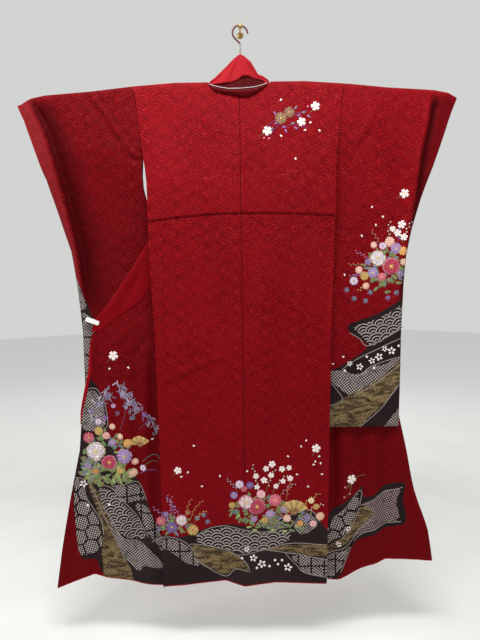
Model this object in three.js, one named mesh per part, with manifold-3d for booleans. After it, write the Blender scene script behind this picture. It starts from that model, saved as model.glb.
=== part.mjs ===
// A furisode (long-sleeved formal kimono) hung by its shoulders on a straight
// kimono hanger, seen with its back outward, and the wall hook that carries it.
// Millimetres, +Z up, +X to the right as the back is looked at, wall face at y = 0.
// The origin is where the wall hook's plate is fixed to the wall.
import * as THREE from 'three';
import Module from 'manifold-3d';
import { mergeVertices } from 'three/addons/utils/BufferGeometryUtils.js';

const wasm = await Module();
wasm.setup();

// ---------------------------------------------------------------- named sizes
const CLOTH = 2;             // wall of silk with its lining
const SEAM = 0.3;            // clearance where two pieces are sewn together
const SHOULDER_Z = -171;     // top of the shoulder fold beside the neck
const HEM_Z = -1812;         // nominal hem of the body
const ROD_Y = -60;           // hanger rod, distance from the wall
const ROD_R = 4.2;
const NECK_X = 92;           // half width of the neck opening
const CUFF_Z = -445;         // lower end of the cuff opening (about 230 long)
const SLEEVE_HEM_Z = -1272;  // bottom of the sleeves
const FLAP_Z = -470;         // top of the fronts' outward flaps
const OVER_COLLAR_Z = -600;  // end of the over-collar on the band
const SLEEVE_HALF = 10;      // half depth of a sleeve bag
const COLLAR_END_Z = -941;   // lower end of the front collar runs
const FUKI_R = 2.6;          // rolled hem of lining
const WAIST_STEP = 4;        // how far the hip tuck stands proud

// ---------------------------------------------------------------- small tables
// fall of the shoulder line towards the cuffs
const SHOULDER = [
  { x: 0, z: -171 }, { x: 200, z: -171 }, { x: 330, z: -180 }, { x: 455, z: -193 },
  { x: 600, z: -203 }, { x: 645, z: -212 }, { x: 680, z: -232 },
];
// back neckline, the lower edge of the collar band
const NECKLINE = [
  { x: 0, z: -211 }, { x: 32, z: -210 }, { x: 52, z: -204 }, { x: 75, z: -195 }, { x: 92, z: -177 }, { x: 99, z: -172 }, { x: 110, z: -171 },
];
// side edge of the back panels
const SIDE = [
  { z: -171, left: 331, right: 323 }, { z: -220, left: 319, right: 314 }, { z: -385, left: 302, right: 298 },
  { z: -425, left: 296, right: 297 }, { z: -470, left: 292, right: 296 }, { z: -526, left: 291, right: 296 }, { z: -702, left: 291, right: 290 }, { z: -963, left: 281, right: 283 },
  { z: -1379, left: 276, right: 278 }, { z: -1820, left: 280, right: 273 },
];
// distance of the back panels from the wall: over the rod, proud at the hip tuck
const BACK_Y = [
  { z: -171, y: -60.4 }, { z: -172.6, y: -64.6 }, { z: -177, y: -67.6 }, { z: -188, y: -68.8 }, { z: -260, y: -72 },
  { z: -420, y: -82 }, { z: -566, y: -88 }, { z: -574, y: -88 + WAIST_STEP }, { z: -760, y: -85 },
  { z: -1100, y: -86 }, { z: -1500, y: -85 }, { z: -1820, y: -83 },
];
// broad folds of the back: x of the crest, width, height, and the run in z
const BACK_FOLDS = [
  { x: -205, w: 60, h: 3.0, top: -600, low: -1820 }, { x: -70, w: 70, h: 2.2, top: -700, low: -1820 },
  { x: 60, w: 70, h: 2.4, top: -640, low: -1820 }, { x: 190, w: 65, h: 3.2, top: -620, low: -1820 },
  { x: -170, w: 90, h: 2.0, top: -200, low: -560 }, { x: 160, w: 90, h: 2.0, top: -200, low: -560 },
];
// hem lines, z along x
const HEM_BACK = [
  { x: -281, z: -1805 }, { x: -189, z: -1797 }, { x: -68, z: -1784 }, { x: -4, z: -1808 },
  { x: 44, z: -1801 }, { x: 96, z: -1794 }, { x: 174, z: -1796 }, { x: 275, z: -1803 },
];
const HEM_LEFT = [
  { x: 200, z: -1812 }, { x: 283, z: -1817 }, { x: 348, z: -1810 }, { x: 409, z: -1798 },
  { x: 474, z: -1784 }, { x: 517, z: -1771 }, { x: 580, z: -1797 }, { x: 650, z: -1825 },
];
const HEM_RIGHT = [
  { x: 200, z: -1826 }, { x: 281, z: -1826 }, { x: 320, z: -1811 }, { x: 356, z: -1789 }, { x: 395, z: -1770 },
  { x: 439, z: -1752 }, { x: 474, z: -1734 }, { x: 531, z: -1736 }, { x: 636, z: -1744 },
];
// The fronts fold back behind themselves: from the side seam s inward to the fold f, then
// outward to the free edge e. seamY is where the side meets the back, inY the run s-f, outY the run f-e.
// okumi and collar are the widths of those pieces, measured back from the free edge.
const FRONT_LEFT = [
  { z: -171, s: 331, f: 97, e: 97, seamY: -59.6, inY: -59.6, outY: -59.6, okumi: 3, collar: 3 },
  { z: -172.6, s: 331, f: 96, e: 96, seamY: -55.4, inY: -55.4, outY: -55.4, okumi: 6, collar: 6 },
  { z: -177, s: 330, f: 94, e: 94, seamY: -52.4, inY: -52.4, outY: -52.4, okumi: 14, collar: 14 },
  { z: -215, s: 320, f: 80, e: 92, seamY: -51, inY: -51.5, outY: -46, okumi: 30, collar: 30 },
  { z: -300, s: 310, f: 84, e: 118, seamY: -52, inY: -54, outY: -44, okumi: 48, collar: 48 },
  { z: -400, s: 300, f: 95, e: 160, seamY: -56, inY: -60, outY: -43, okumi: 70, collar: 70 },
  { z: -450, s: 290, f: 102, e: 188, seamY: -63, inY: -63, outY: -44, okumi: 78, collar: 78 },
  { z: -510, s: 288, f: 110, e: 222, seamY: -72, inY: -66, outY: -46, okumi: 88, collar: 88 },
  { z: -560, s: 291, f: 117, e: 250, seamY: -83.3, inY: -68, outY: -48, okumi: 94, collar: 94 },
  { z: -647, s: 292, f: 130, e: 298, seamY: -79.9, inY: -68, outY: -50, okumi: 116, collar: 102 },
  { z: -742, s: 289, f: 146, e: 358, seamY: -80.4, inY: -68, outY: -50, okumi: 132, collar: 108 },
  { z: -848, s: 285, f: 166, e: 434, seamY: -80.8, inY: -68, outY: -50, okumi: 140, collar: 100 },
  { z: -897, s: 283, f: 178, e: 478, seamY: -80.9, inY: -68, outY: -50, okumi: 143, collar: 70 },
  { z: -941, s: 282, f: 186, e: 494, seamY: -81, inY: -68, outY: -50, okumi: 145, collar: 30 },
  { z: -1075, s: 279, f: 200, e: 503, seamY: -81.4, inY: -68, outY: -50, okumi: 148, collar: 0 },
  { z: -1207, s: 278, f: 215, e: 537, seamY: -81.2, inY: -68, outY: -50, okumi: 150, collar: 0 },
  { z: -1337, s: 277, f: 226, e: 550, seamY: -80.9, inY: -68, outY: -51, okumi: 150, collar: 0 },
  { z: -1507, s: 277, f: 240, e: 589, seamY: -80.5, inY: -68, outY: -53, okumi: 150, collar: 0 },
  { z: -1682, s: 279, f: 254, e: 625, seamY: -79.4, inY: -68, outY: -56, okumi: 150, collar: 0 },
  { z: -1820, s: 280, f: 260, e: 650, seamY: -78.5, inY: -68, outY: -57, okumi: 150, collar: 0 },
];
const FRONT_RIGHT = [
  { z: -171, s: 323, f: 97, e: 97, seamY: -59.6, inY: -59.6, outY: -59.6, okumi: 3, collar: 3 },
  { z: -172.6, s: 323, f: 96, e: 96, seamY: -55.4, inY: -55.4, outY: -55.4, okumi: 6, collar: 6 },
  { z: -177, s: 322, f: 94, e: 94, seamY: -52.4, inY: -52.4, outY: -52.4, okumi: 14, collar: 14 },
  { z: -215, s: 314, f: 80, e: 92, seamY: -51, inY: -51.5, outY: -46, okumi: 30, collar: 30 },
  { z: -300, s: 306, f: 84, e: 118, seamY: -52, inY: -54, outY: -40, okumi: 48, collar: 48 },
  { z: -400, s: 298, f: 95, e: 160, seamY: -56, inY: -60, outY: -36, okumi: 70, collar: 70 },
  { z: -450, s: 297, f: 102, e: 188, seamY: -61, inY: -64, outY: -33, okumi: 78, collar: 78 },
  { z: -510, s: 296, f: 110, e: 222, seamY: -66, inY: -68, outY: -30, okumi: 88, collar: 88 },
  { z: -560, s: 295, f: 117, e: 250, seamY: -83.3, inY: -70, outY: -28, okumi: 94, collar: 94 },
  { z: -647, s: 292, f: 130, e: 294, seamY: -79.9, inY: -70, outY: -26, okumi: 116, collar: 102 },
  { z: -742, s: 289, f: 146, e: 346, seamY: -80.4, inY: -70, outY: -25, okumi: 132, collar: 108 },
  { z: -848, s: 287, f: 160, e: 404, seamY: -80.8, inY: -70, outY: -25, okumi: 140, collar: 100 },
  { z: -897, s: 286, f: 166, e: 428, seamY: -80.9, inY: -70, outY: -25, okumi: 143, collar: 70 },
  { z: -941, s: 284, f: 172, e: 446, seamY: -81, inY: -70, outY: -25, okumi: 145, collar: 30 },
  { z: -1075, s: 283, f: 186, e: 488, seamY: -81.4, inY: -70, outY: -25, okumi: 148, collar: 0 },
  { z: -1207, s: 280, f: 198, e: 516, seamY: -81.2, inY: -70, outY: -26, okumi: 150, collar: 0 },
  { z: -1337, s: 279, f: 212, e: 545, seamY: -80.9, inY: -70, outY: -32, okumi: 150, collar: 0 },
  { z: -1507, s: 277, f: 232, e: 578, seamY: -80.5, inY: -69, outY: -42, okumi: 150, collar: 0 },
  { z: -1682, s: 275, f: 250, e: 622, seamY: -79.4, inY: -68, outY: -50, okumi: 150, collar: 0 },
  { z: -1820, s: 273, f: 256, e: 640, seamY: -78.5, inY: -68, outY: -54, okumi: 150, collar: 0 },
];
// sleeve bags: outer (cuff side) and inner (body side) edge, middle depth
const SLEEVE_LEFT = [
  { z: -171, outer: 686, inner: 332.5, y: -60 }, { z: -226, outer: 667, inner: 319.8, y: -60 },
  { z: -349, outer: 636, inner: 306, y: -60 }, { z: -398, outer: 625, inner: 302.5, y: -56 }, { z: -445, outer: 613, inner: 303.5, y: -50 },
  { z: -484, outer: 605, inner: 302, y: -45 },
  { z: -526, outer: 595, inner: 292, y: -39 }, { z: -597, outer: 576, inner: 270, y: -34 },
  { z: -685, outer: 552, inner: 246, y: -28 }, { z: -807, outer: 538, inner: 214, y: -27 },
  { z: -941, outer: 528, inner: 192, y: -27 }, { z: -1100, outer: 529, inner: 182, y: -27 },
  { z: -1272, outer: 532, inner: 180, y: -27 },
];
const SLEEVE_RIGHT = [
  { z: -171, outer: 671, inner: 324.5, y: -60 }, { z: -231, outer: 652, inner: 314, y: -60 },
  { z: -349, outer: 621, inner: 301, y: -58 }, { z: -443, outer: 597, inner: 299.5, y: -54 },
  { z: -526, outer: 572, inner: 298.5, y: -50 }, { z: -628, outer: 544, inner: 284, y: -48 },
  { z: -716, outer: 528, inner: 268, y: -48 }, { z: -796, outer: 523, inner: 250, y: -48 },
  { z: -965, outer: 518, inner: 224, y: -48 }, { z: -1100, outer: 518, inner: 212, y: -48 },
  { z: -1272, outer: 516, inner: 208, y: -48 },
];
// folds of the visible front runs: distance in from the free edge, width, height
const FRONT_FOLDS = [
  { d: 330, w: 40, h: 4, top: -1000, low: -1820 }, { d: 250, w: 36, h: -3.5, top: -1000, low: -1820 },
  { d: 170, w: 44, h: 4, top: -1100, low: -1820 },
];

// ---------------------------------------------------------------- helpers
const clamp = (v, a, b) => Math.min(b, Math.max(a, v));
const mix = (a, b, t) => a + (b - a) * t;
const smooth = (t) => { const k = clamp(t, 0, 1); return k * k * (3 - 2 * k); };

// value of column `col` where column `key` equals v, straight lines between rows
function look(table, key, v, col) {
  const up = table[table.length - 1][key] > table[0][key];
  for (let i = 0; i < table.length - 1; i++) {
    const a = table[i], b = table[i + 1];
    if ((up && v <= b[key]) || (!up && v >= b[key]) || i === table.length - 2) {
      return mix(a[col], b[col], clamp((v - a[key]) / (b[key] - a[key]), 0, 1));
    }
  }
  return table[0][col];
}

// soft ridges and troughs added to a face
function folds(rows, key, v, z) {
  let sum = 0;
  for (const r of rows) {
    const run = smooth((r.top - z) / 140) * (r.low < -1700 ? 1 : smooth((z - r.low) / 140));
    const k = (v - r[key]) / r.w;
    sum += r.h * run * Math.exp(-k * k);
  }
  return sum;
}

const shoulderDrop = (x, z) => (look(SHOULDER, 'x', Math.abs(x), 'z') - SHOULDER_Z) * smooth((z + 560) / 300);
const toHem = (table, x, z) => (look(table, 'x', x, 'z') - HEM_Z) * smooth((-1450 - z) / 362);

// closed body from rings of points, all rings alike, capped or closed on itself
function grid(cols, rows, at, wrap = false) {
  const pos = [], idx = [];
  for (let j = 0; j < rows; j++) for (let i = 0; i < cols; i++) pos.push(...at(i, j));
  const w = wrap ? cols : cols - 1;
  for (let j = 0; j < rows - 1; j++) {
    for (let i = 0; i < w; i++) {
      const a = j * cols + i, b = j * cols + ((i + 1) % cols), c = a + cols, d = b + cols;
      idx.push(a, b, d, a, d, c);
    }
  }
  return { pos, idx };
}

// makes a BufferGeometry, turned so that its faces point out
function body(pos, idx) {
  let vol = 0;
  const v = (i) => [pos[3 * i], pos[3 * i + 1], pos[3 * i + 2]];
  for (let i = 0; i < idx.length; i += 3) {
    const [a, b, c] = [v(idx[i]), v(idx[i + 1]), v(idx[i + 2])];
    vol += a[0] * (b[1] * c[2] - b[2] * c[1]) + a[1] * (b[2] * c[0] - b[0] * c[2]) + a[2] * (b[0] * c[1] - b[1] * c[0]);
  }
  const list = vol < 0 ? idx.flatMap((_, i) => (i % 3 ? [] : [idx[i], idx[i + 2], idx[i + 1]])) : idx;
  const g = new THREE.BufferGeometry();
  g.setAttribute('position', new THREE.Float32BufferAttribute(pos, 3));
  g.setIndex(list);
  return g;
}

// cloth wall on the surface at(u, v): u and v are lists of stations, the wall grows by
// `thick` along the surface's normal times `way`
function wall(us, vs, at, thick, way, normal = null) {
  const P = [], N = [];
  const nu = us.length, nv = vs.length;
  for (let j = 0; j < nv; j++) for (let i = 0; i < nu; i++) P.push(new THREE.Vector3(...at(us[i], vs[j])));
  for (let j = 0; j < nv; j++) {
    for (let i = 0; i < nu; i++) {
      if (normal) {
        N.push(normal(us[i], vs[j]).multiplyScalar(way * thick));
        continue;
      }
      const du = P[j * nu + Math.min(i + 1, nu - 1)].clone().sub(P[j * nu + Math.max(i - 1, 0)]);
      const dv = P[Math.min(j + 1, nv - 1) * nu + i].clone().sub(P[Math.max(j - 1, 0) * nu + i]);
      N.push(du.cross(dv).normalize().multiplyScalar(way * thick));
    }
  }
  const pos = [], idx = [];
  P.forEach((p) => pos.push(p.x, p.y, p.z));
  P.forEach((p, i) => pos.push(p.x + N[i].x, p.y + N[i].y, p.z + N[i].z));
  const o = nu * nv;
  const quad = (a, b, c, d) => idx.push(a, b, c, a, c, d);
  for (let j = 0; j < nv - 1; j++) {
    for (let i = 0; i < nu - 1; i++) {
      const a = j * nu + i;
      quad(a, a + 1, a + nu + 1, a + nu);
      quad(o + a, o + a + nu, o + a + nu + 1, o + a + 1);
    }
  }
  for (let i = 0; i < nu - 1; i++) {
    quad(i + 1, i, o + i, o + i + 1);
    const b = (nv - 1) * nu + i;
    quad(b, b + 1, o + b + 1, o + b);
  }
  for (let j = 0; j < nv - 1; j++) {
    const a = j * nu, b = a + nu;
    quad(a, b, o + b, o + a);
    const c = a + nu - 1, d = b + nu - 1;
    quad(d, c, o + c, o + d);
  }
  return body(pos, idx);
}

// round section swept along points, flat ends
function roll(points, r, sides = 8) {
  const pts = points.map((p) => new THREE.Vector3(...p));
  const ring = (i, k) => {
    const t = pts[Math.min(i + 1, pts.length - 1)].clone().sub(pts[Math.max(i - 1, 0)]).normalize();
    const ref = Math.abs(t.y) > 0.9 ? new THREE.Vector3(1, 0, 0) : new THREE.Vector3(0, 1, 0);
    const n = ref.clone().cross(t).normalize(), b = t.clone().cross(n);
    const a = (2 * Math.PI * k) / sides;
    const q = pts[i].clone().addScaledVector(n, r * Math.cos(a)).addScaledVector(b, r * Math.sin(a));
    return [q.x, q.y, q.z];
  };
  const { pos, idx } = grid(sides, pts.length, (k, i) => ring(i, k), true);
  const first = pos.length / 3;
  pos.push(...points[0], ...points[points.length - 1]);
  for (let k = 0; k < sides; k++) {
    const n = (k + 1) % sides, e = (pts.length - 1) * sides;
    idx.push(first, n, k, first + 1, e + k, e + n);
  }
  return body(pos, idx);
}

// body between two faces of a bag: x0..x1 across, z down the rows
function slab(us, vs, front, back) {
  const F = grid(us.length, vs.length, (i, j) => front(us[i], vs[j]));
  const B = grid(us.length, vs.length, (i, j) => back(us[i], vs[j]));
  const nu = us.length, nv = vs.length, o = nu * nv;
  const pos = [...F.pos, ...B.pos];
  const idx = [...F.idx, ...B.idx.map((k) => k + o).reduce((l, _, i, s) => (i % 3 ? l : [...l, s[i], s[i + 2], s[i + 1]]), [])];
  const quad = (a, b, c, d) => idx.push(a, b, c, a, c, d);
  for (let i = 0; i < nu - 1; i++) {
    quad(i + 1, i, o + i, o + i + 1);
    const b = (nv - 1) * nu + i;
    quad(b, b + 1, o + b + 1, o + b);
  }
  for (let j = 0; j < nv - 1; j++) {
    const a = j * nu, b = a + nu;
    quad(a, b, o + b, o + a);
    const c = a + nu - 1, d = b + nu - 1;
    quad(d, c, o + c, o + d);
  }
  return body(pos, idx);
}

function solid(geometry) {
  const g = geometry.clone();
  g.deleteAttribute('normal');
  g.deleteAttribute('uv');
  const m = mergeVertices(g, 1e-4);
  return new wasm.Manifold(new wasm.Mesh({
    numProp: 3,
    vertProperties: new Float32Array(m.attributes.position.array),
    triVerts: new Uint32Array(m.index.array),
  }));
}
function shape(manifold) {
  const m = manifold.getMesh();
  const g = new THREE.BufferGeometry();
  g.setAttribute('position', new THREE.Float32BufferAttribute(Array.from(m.vertProperties), 3));
  g.setIndex(Array.from(m.triVerts));
  return g;
}
const moved = (g, x, y, z) => { g.translate(x, y, z); return g; };
const span = (a, b, n) => Array.from({ length: n + 1 }, (_, i) => mix(a, b, i / n));

// ---------------------------------------------------------------- finishes
const finish = (name, color, roughness, metalness = 0) => new THREE.MeshStandardMaterial({ name, color, roughness, metalness, side: THREE.DoubleSide });
const SILK = finish('red_silk', 0x9c121c, 0.55);
const LINING = finish('red_lining', 0xb01a22, 0.6);
const PALE = finish('pale_piping', 0xd8cfc8, 0.6);
const COPPER = finish('dark_copper', 0x6a3a26, 0.35, 0.9);
const STEEL = finish('bright_stem', 0xb9b3a8, 0.3, 0.9);
const BRASS = finish('brass', 0xb08a4a, 0.35, 0.9);
const ROD = finish('dark_rod', 0x3a2c24, 0.5);
const WHITE = finish('white_clip', 0xe8e6e2, 0.5);

const furisode = new THREE.Group();
function add(name, geometry, material, parent = furisode) {
  const mesh = new THREE.Mesh(geometry, material);
  mesh.name = name;
  parent.add(mesh);
  return mesh;
}

// ---------------------------------------------------------------- back panels
const BACK_ROWS = [-171, -172.6, -177, -188, -215, -260, -340, -440, -566, -574, -660, -760, -900,
  -1050, -1200, -1350, -1480, -1580, -1700, HEM_Z];
function backAt(x, z) {
  const low = look(NECKLINE, 'x', Math.abs(x), 'z');
  const neck = Math.abs(x) < 110 ? (low - SHOULDER_Z) * smooth((z + 300) / 129) : 0;
  const y = look(BACK_Y, 'z', Math.abs(x) < 110 ? z + neck : z, 'y') - folds(BACK_FOLDS, 'x', x, z);
  return [x, y, z + neck + (Math.abs(x) < 110 ? 0 : shoulderDrop(x, z)) + toHem(HEM_BACK, x, z)];
}
for (const side of [-1, 1]) {
  const name = side < 0 ? 'left' : 'right';
  const us = [0, 0.08, 0.17, 0.26, 0.36, 0.5, 0.62, 0.75, 0.88, 1];
  const at = (u, z) => {
    const edge = look(SIDE, 'z', z, name) - SEAM / 2;
    return backAt(side * mix(SEAM / 2, edge, u), z);
  };
  add('back_' + name, wall(us, BACK_ROWS, at, CLOTH, -side), SILK);
}

// ---------------------------------------------------------------- fronts, okumi, collar runs
// outline of one front at height z, as points (X outward, y), with running length
function frontOutline(table, z) {
  const g = (c) => look(table, 'z', z, c);
  const s = g('s'), f = g('f'), e = g('e'), sy = g('seamY'), iy = g('inY'), oy = g('outY');
  const r = Math.min(Math.abs(oy - iy) / 2, Math.max((e - f) / 2, 0.01));
  const pts = [[s, sy], [s - 0.8, mix(sy, iy, 0.4)], [s - 3, mix(sy, iy, 0.8)], [s - 9, iy]];
  const mid = (oy + iy) / 2;
  pts.push([mix(s - 9, f + r, 0.5), iy]);
  for (let k = 0; k <= 6; k++) {
    const a = (Math.PI * k) / 6;
    pts.push([f + r - r * Math.sin(a), mid - ((oy - iy) / 2) * Math.cos(a)]);
  }
  pts.push([Math.max(e, f + r + 0.01), oy]);
  const len = [0];
  for (let i = 1; i < pts.length; i++) len.push(len[i - 1] + Math.hypot(pts[i][0] - pts[i - 1][0], pts[i][1] - pts[i - 1][1]));
  return { pts, len, total: len[len.length - 1] };
}
function frontAt(table, side, hem, t, z) {
  const { pts, len, total } = frontOutline(table, z);
  const d = clamp(t, 0, total);
  let i = 1;
  while (i < len.length - 1 && len[i] < d) i++;
  const k = (d - len[i - 1]) / (len[i] - len[i - 1] || 1);
  const X = mix(pts[i - 1][0], pts[i][0], k);
  const outer = smooth((d - len[len.length - 2]) / 60);
  const y = mix(pts[i - 1][1], pts[i][1], k) - outer * folds(FRONT_FOLDS, 'd', total - d, z);
  return [side * X, y, z + shoulderDrop(X, z) * smooth((X - 92) / 40) + toHem(hem, X, z)];
}
// how far the cloth's inner side turns down towards the top of the shoulder fold, radians
const RIDGE = [{ z: -171, lean: 1.5 }, { z: -172.6, lean: 1 }, { z: -177, lean: 0.3 }, { z: -215, lean: 0 }];
// the outward direction there, the same for every piece that meets at that point
function frontNormal(table, side, hem, t, z) {
  const { total } = frontOutline(table, z);
  const a = new THREE.Vector3(...frontAt(table, side, hem, clamp(t + 1, 0, total), z));
  const b = new THREE.Vector3(...frontAt(table, side, hem, clamp(t - 1, 0, total), z));
  const run = a.sub(b);
  run.z = 0;
  const lean = look(RIDGE, 'z', z, 'lean');
  const flat = run.cross(new THREE.Vector3(0, 0, -1)).normalize().multiplyScalar(Math.cos(lean));
  flat.z = -side * Math.sin(lean);
  return flat;
}
const FRONT_ROWS = [-171, -172.6, -177, -215, -300, -400, -510, -560, -647, -742, -848, -897, -941,
  -1075, -1207, -1337, -1450, -1560, -1682, -1750, HEM_Z];
for (const [side, name, table, hem] of [[-1, 'left', FRONT_LEFT, HEM_LEFT], [1, 'right', FRONT_RIGHT, HEM_RIGHT]]) {
  const total = (z) => frontOutline(table, z).total;
  const okumi = (z) => look(table, 'z', z, 'okumi');
  const collar = (z) => look(table, 'z', z, 'collar');
  const at = (t, z) => frontAt(table, side, hem, t, z);
  const out = (t, z) => frontNormal(table, side, hem, t, z);
  // front: stations on the outline's own corners up to the fold, then even steps outward
  const along = (u, z) => {
    const { len } = frontOutline(table, z);
    const stop = total(z) - Math.max(okumi(z), collar(z)) - (z > -200 ? 2.2 : SEAM / 2);
    const whole = Math.max(stop, len[11]);
    return ((u <= 11 ? len[u] : mix(len[11], whole, (u - 11) / 4)) / whole) * stop;
  };
  // the run behind the back panel and, past the fold that turns it outward, its flap
  const run = solid(wall(span(0, 15, 15), FRONT_ROWS, (u, z) => at(along(u, z), z), CLOTH, side, (u, z) => out(along(u, z), z)));
  const pocket = (off) => (u, z) => [side * mix(40, 720, u), (look(table, 'z', z, 'inY') + look(table, 'z', z, 'outY')) / 2 + off, z];
  const pocketRows = (top) => [top, ...FRONT_ROWS.filter((z) => z < top - 5), HEM_Z - 90];
  add('front_' + name, shape(run.subtract(solid(slab([0, 1], pocketRows(FLAP_Z + SEAM / 2), pocket(-SEAM / 2), pocket(80))))), SILK);
  add('front_' + name + '_flap', shape(run.intersect(solid(slab([0, 1], pocketRows(FLAP_Z - SEAM / 2), pocket(SEAM / 2), pocket(80))))), SILK);
  // overlap panel: a long strip that comes to a point under the collar
  const okRows = [-575, ...FRONT_ROWS.filter((z) => z < -600)];
  const over = (u, z) => {
    const a = total(z) - okumi(z) + SEAM / 2;
    const b = total(z) - (z > COLLAR_END_Z - 1 ? collar(z) + SEAM / 2 : 0);
    return mix(a, Math.max(b, a + 1), u);
  };
  add('okumi_' + name, wall(span(0, 1, 5), okRows, (u, z) => at(over(u, z), z), CLOTH, side, (u, z) => out(over(u, z), z)), SILK);
  // collar run along the free edge
  const coRows = FRONT_ROWS.filter((z) => z < -172 && z > COLLAR_END_Z - 1);
  const upper = [...coRows.filter((z) => z > OVER_COLLAR_Z), OVER_COLLAR_Z + SEAM / 2];
  const lower = [OVER_COLLAR_Z - SEAM / 2, ...coRows.filter((z) => z < OVER_COLLAR_Z)];
  const edge = (u, z) => mix(total(z) - collar(z) + SEAM / 2, total(z), u);
  add('collar_' + name + '_upper', wall(span(0, 1, 4), upper, (u, z) => at(edge(u, z), z), CLOTH, side, (u, z) => out(edge(u, z), z)), SILK);
  add('collar_' + name, wall(span(0, 1, 4), lower, (u, z) => at(edge(u, z), z), CLOTH, side, (u, z) => out(edge(u, z), z)), SILK);
  // rolled hem of this front, just under the panels' own lower edges
  const low = [...[11, 12, 13, 14, 15].map((u) => along(u, HEM_Z)), ...[1, 2, 3, 4, 5].map((k) => over(k / 5, HEM_Z))];
  low[0] += 6;
  low[low.length - 1] -= 1;
  add('hem_roll_front_' + name, roll(low.map((t) => {
    const [x, y, z] = at(t, HEM_Z);
    const slope = (at(Math.min(t + 4, total(HEM_Z)), HEM_Z)[2] - at(t - 4, HEM_Z)[2]) / 8;
    return [x, y, z - (FUKI_R + SEAM) * (1.12 + Math.abs(slope)) - 0.4];
  }), FUKI_R, 6), LINING);
}

// ---------------------------------------------------------------- sleeves
// a bag over the rod: closed along the shoulder, the hem and the outer edge below the cuff
for (const [side, name, table] of [[-1, 'left', SLEEVE_LEFT], [1, 'right', SLEEVE_RIGHT]]) {
  const rows = [-171, -172.6, -177, -186, -226, -290, -349, -400, -445, -526, -597, -685, -800, -941, -1100, -1262, -1269, SLEEVE_HEM_Z];
  const half = (z) => (z > -186 ? look([{ z: -171, h: 0.2 }, { z: -172.6, h: 4.6 }, { z: -177, h: 7.6 }, { z: -186, h: 9 }], 'z', z, 'h')
    : look([{ z: -186, h: 9 }, { z: -260, h: SLEEVE_HALF }, { z: -1200, h: SLEEVE_HALF }, { z: -1262, h: 6 }, { z: -1269, h: 4 }, { z: SLEEVE_HEM_Z, h: 1.6 }], 'z', z, 'h'));
  const edgeX = (z, c) => look(table, 'z', z, c);
  const place = (u, z, grow, face) => {
    const inX = edgeX(z, 'inner') - (grow < 0 ? 8 : 0), outX = edgeX(z, 'outer') + grow;
    const X = mix(inX, outX, u);
    const d = edgeX(z, 'outer') - X;
    const round = mix(1, 0.85, smooth((40 - d) / 40));
    const y = edgeX(z, 'y') + face * Math.max(half(z) * round + grow, 0.4);
    return [side * X, y, z + shoulderDrop(X, z)];
  };
  const us = [0, 0.2, 0.4, 0.58, 0.7, 0.78, 0.85, 0.93, 1];
  const outerBag = slab(us, rows, (u, z) => place(u, z, 0, -1), (u, z) => place(u, z, 0, 1));
  const inRows = [-173.4, -177, -186, -226, -290, -349, -400, -445, -526, -597, -685, -800, -941, -1100, -1262, -1268];
  const innerBag = slab(us, inRows, (u, z) => place(u, z, -CLOTH, -1), (u, z) => place(u, z, -CLOTH, 1));
  // cuff opening: the outer edge is left open from the shoulder down to CUFF_Z
  const cuffRows = [-181, -190, -226, -290, -349, -400, CUFF_Z];
  const cuff = slab([0, 1], cuffRows,
    (u, z) => { const X = edgeX(z, 'outer') + (u ? 12 : -12); return [side * X, edgeX(z, 'y') - 3.4, z + shoulderDrop(Math.min(X, 680), z)]; },
    (u, z) => { const X = edgeX(z, 'outer') + (u ? 12 : -12); return [side * X, edgeX(z, 'y') + 3.4, z + shoulderDrop(Math.min(X, 680), z)]; });
  const bag = solid(outerBag).subtract(solid(innerBag)).subtract(solid(cuff));
  // its back half is looked at and its front half hangs next to the wall: they part along the middle depth
  const middle = (off) => (u, z) => {
    const X = mix(edgeX(z, 'inner') - 30, edgeX(z, 'outer') + 30, u);
    return [side * X, edgeX(z, 'y') + off, z + shoulderDrop(X, z)];
  };
  const midRows = [-150, ...rows.slice(1, -1), SLEEVE_HEM_Z - 20];
  const across = span(0, 1, 8);
  add('sleeve_' + name + '_back', shape(bag.subtract(solid(slab(across, midRows, middle(-SEAM / 2), middle(60))))), SILK);
  add('sleeve_' + name + '_front', shape(bag.subtract(solid(slab(across, midRows, middle(-60), middle(SEAM / 2))))), SILK);
}

// ---------------------------------------------------------------- neck
// collar band across the back of the neck
const bandTop = (x) => look([{ x: 0, z: -194 }, { x: 40, z: -192 }, { x: 70, z: -185 }, { x: 92, z: -176 }], 'x', Math.abs(x), 'z');
const bandLow = (x) => look([{ x: 0, z: -210.4 }, { x: 32, z: -209 }, { x: 52, z: -202 }, { x: 75, z: -190.6 }, { x: 92, z: -177.4 }], 'x', Math.abs(x), 'z');
const bandY = (x) => -76 + 7 * (x / NECK_X) ** 2;
add('collar_back', wall(span(-NECK_X + 2, NECK_X - 2, 20), [0, 0.35, 0.7, 1], (x, v) => [
  x, bandY(x) - 2.5 * Math.sin(Math.PI * v * 0.8) - 2 * v, mix(bandLow(x), bandTop(x), v)], CLOTH, -1), SILK);
// pale line on its top edge
add('collar_piping', roll(span(-NECK_X + 3, NECK_X - 3, 20).map((x) => [x, bandY(x) - 1.5, bandTop(x) + 2.2]), 1.4, 6), PALE);
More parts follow.
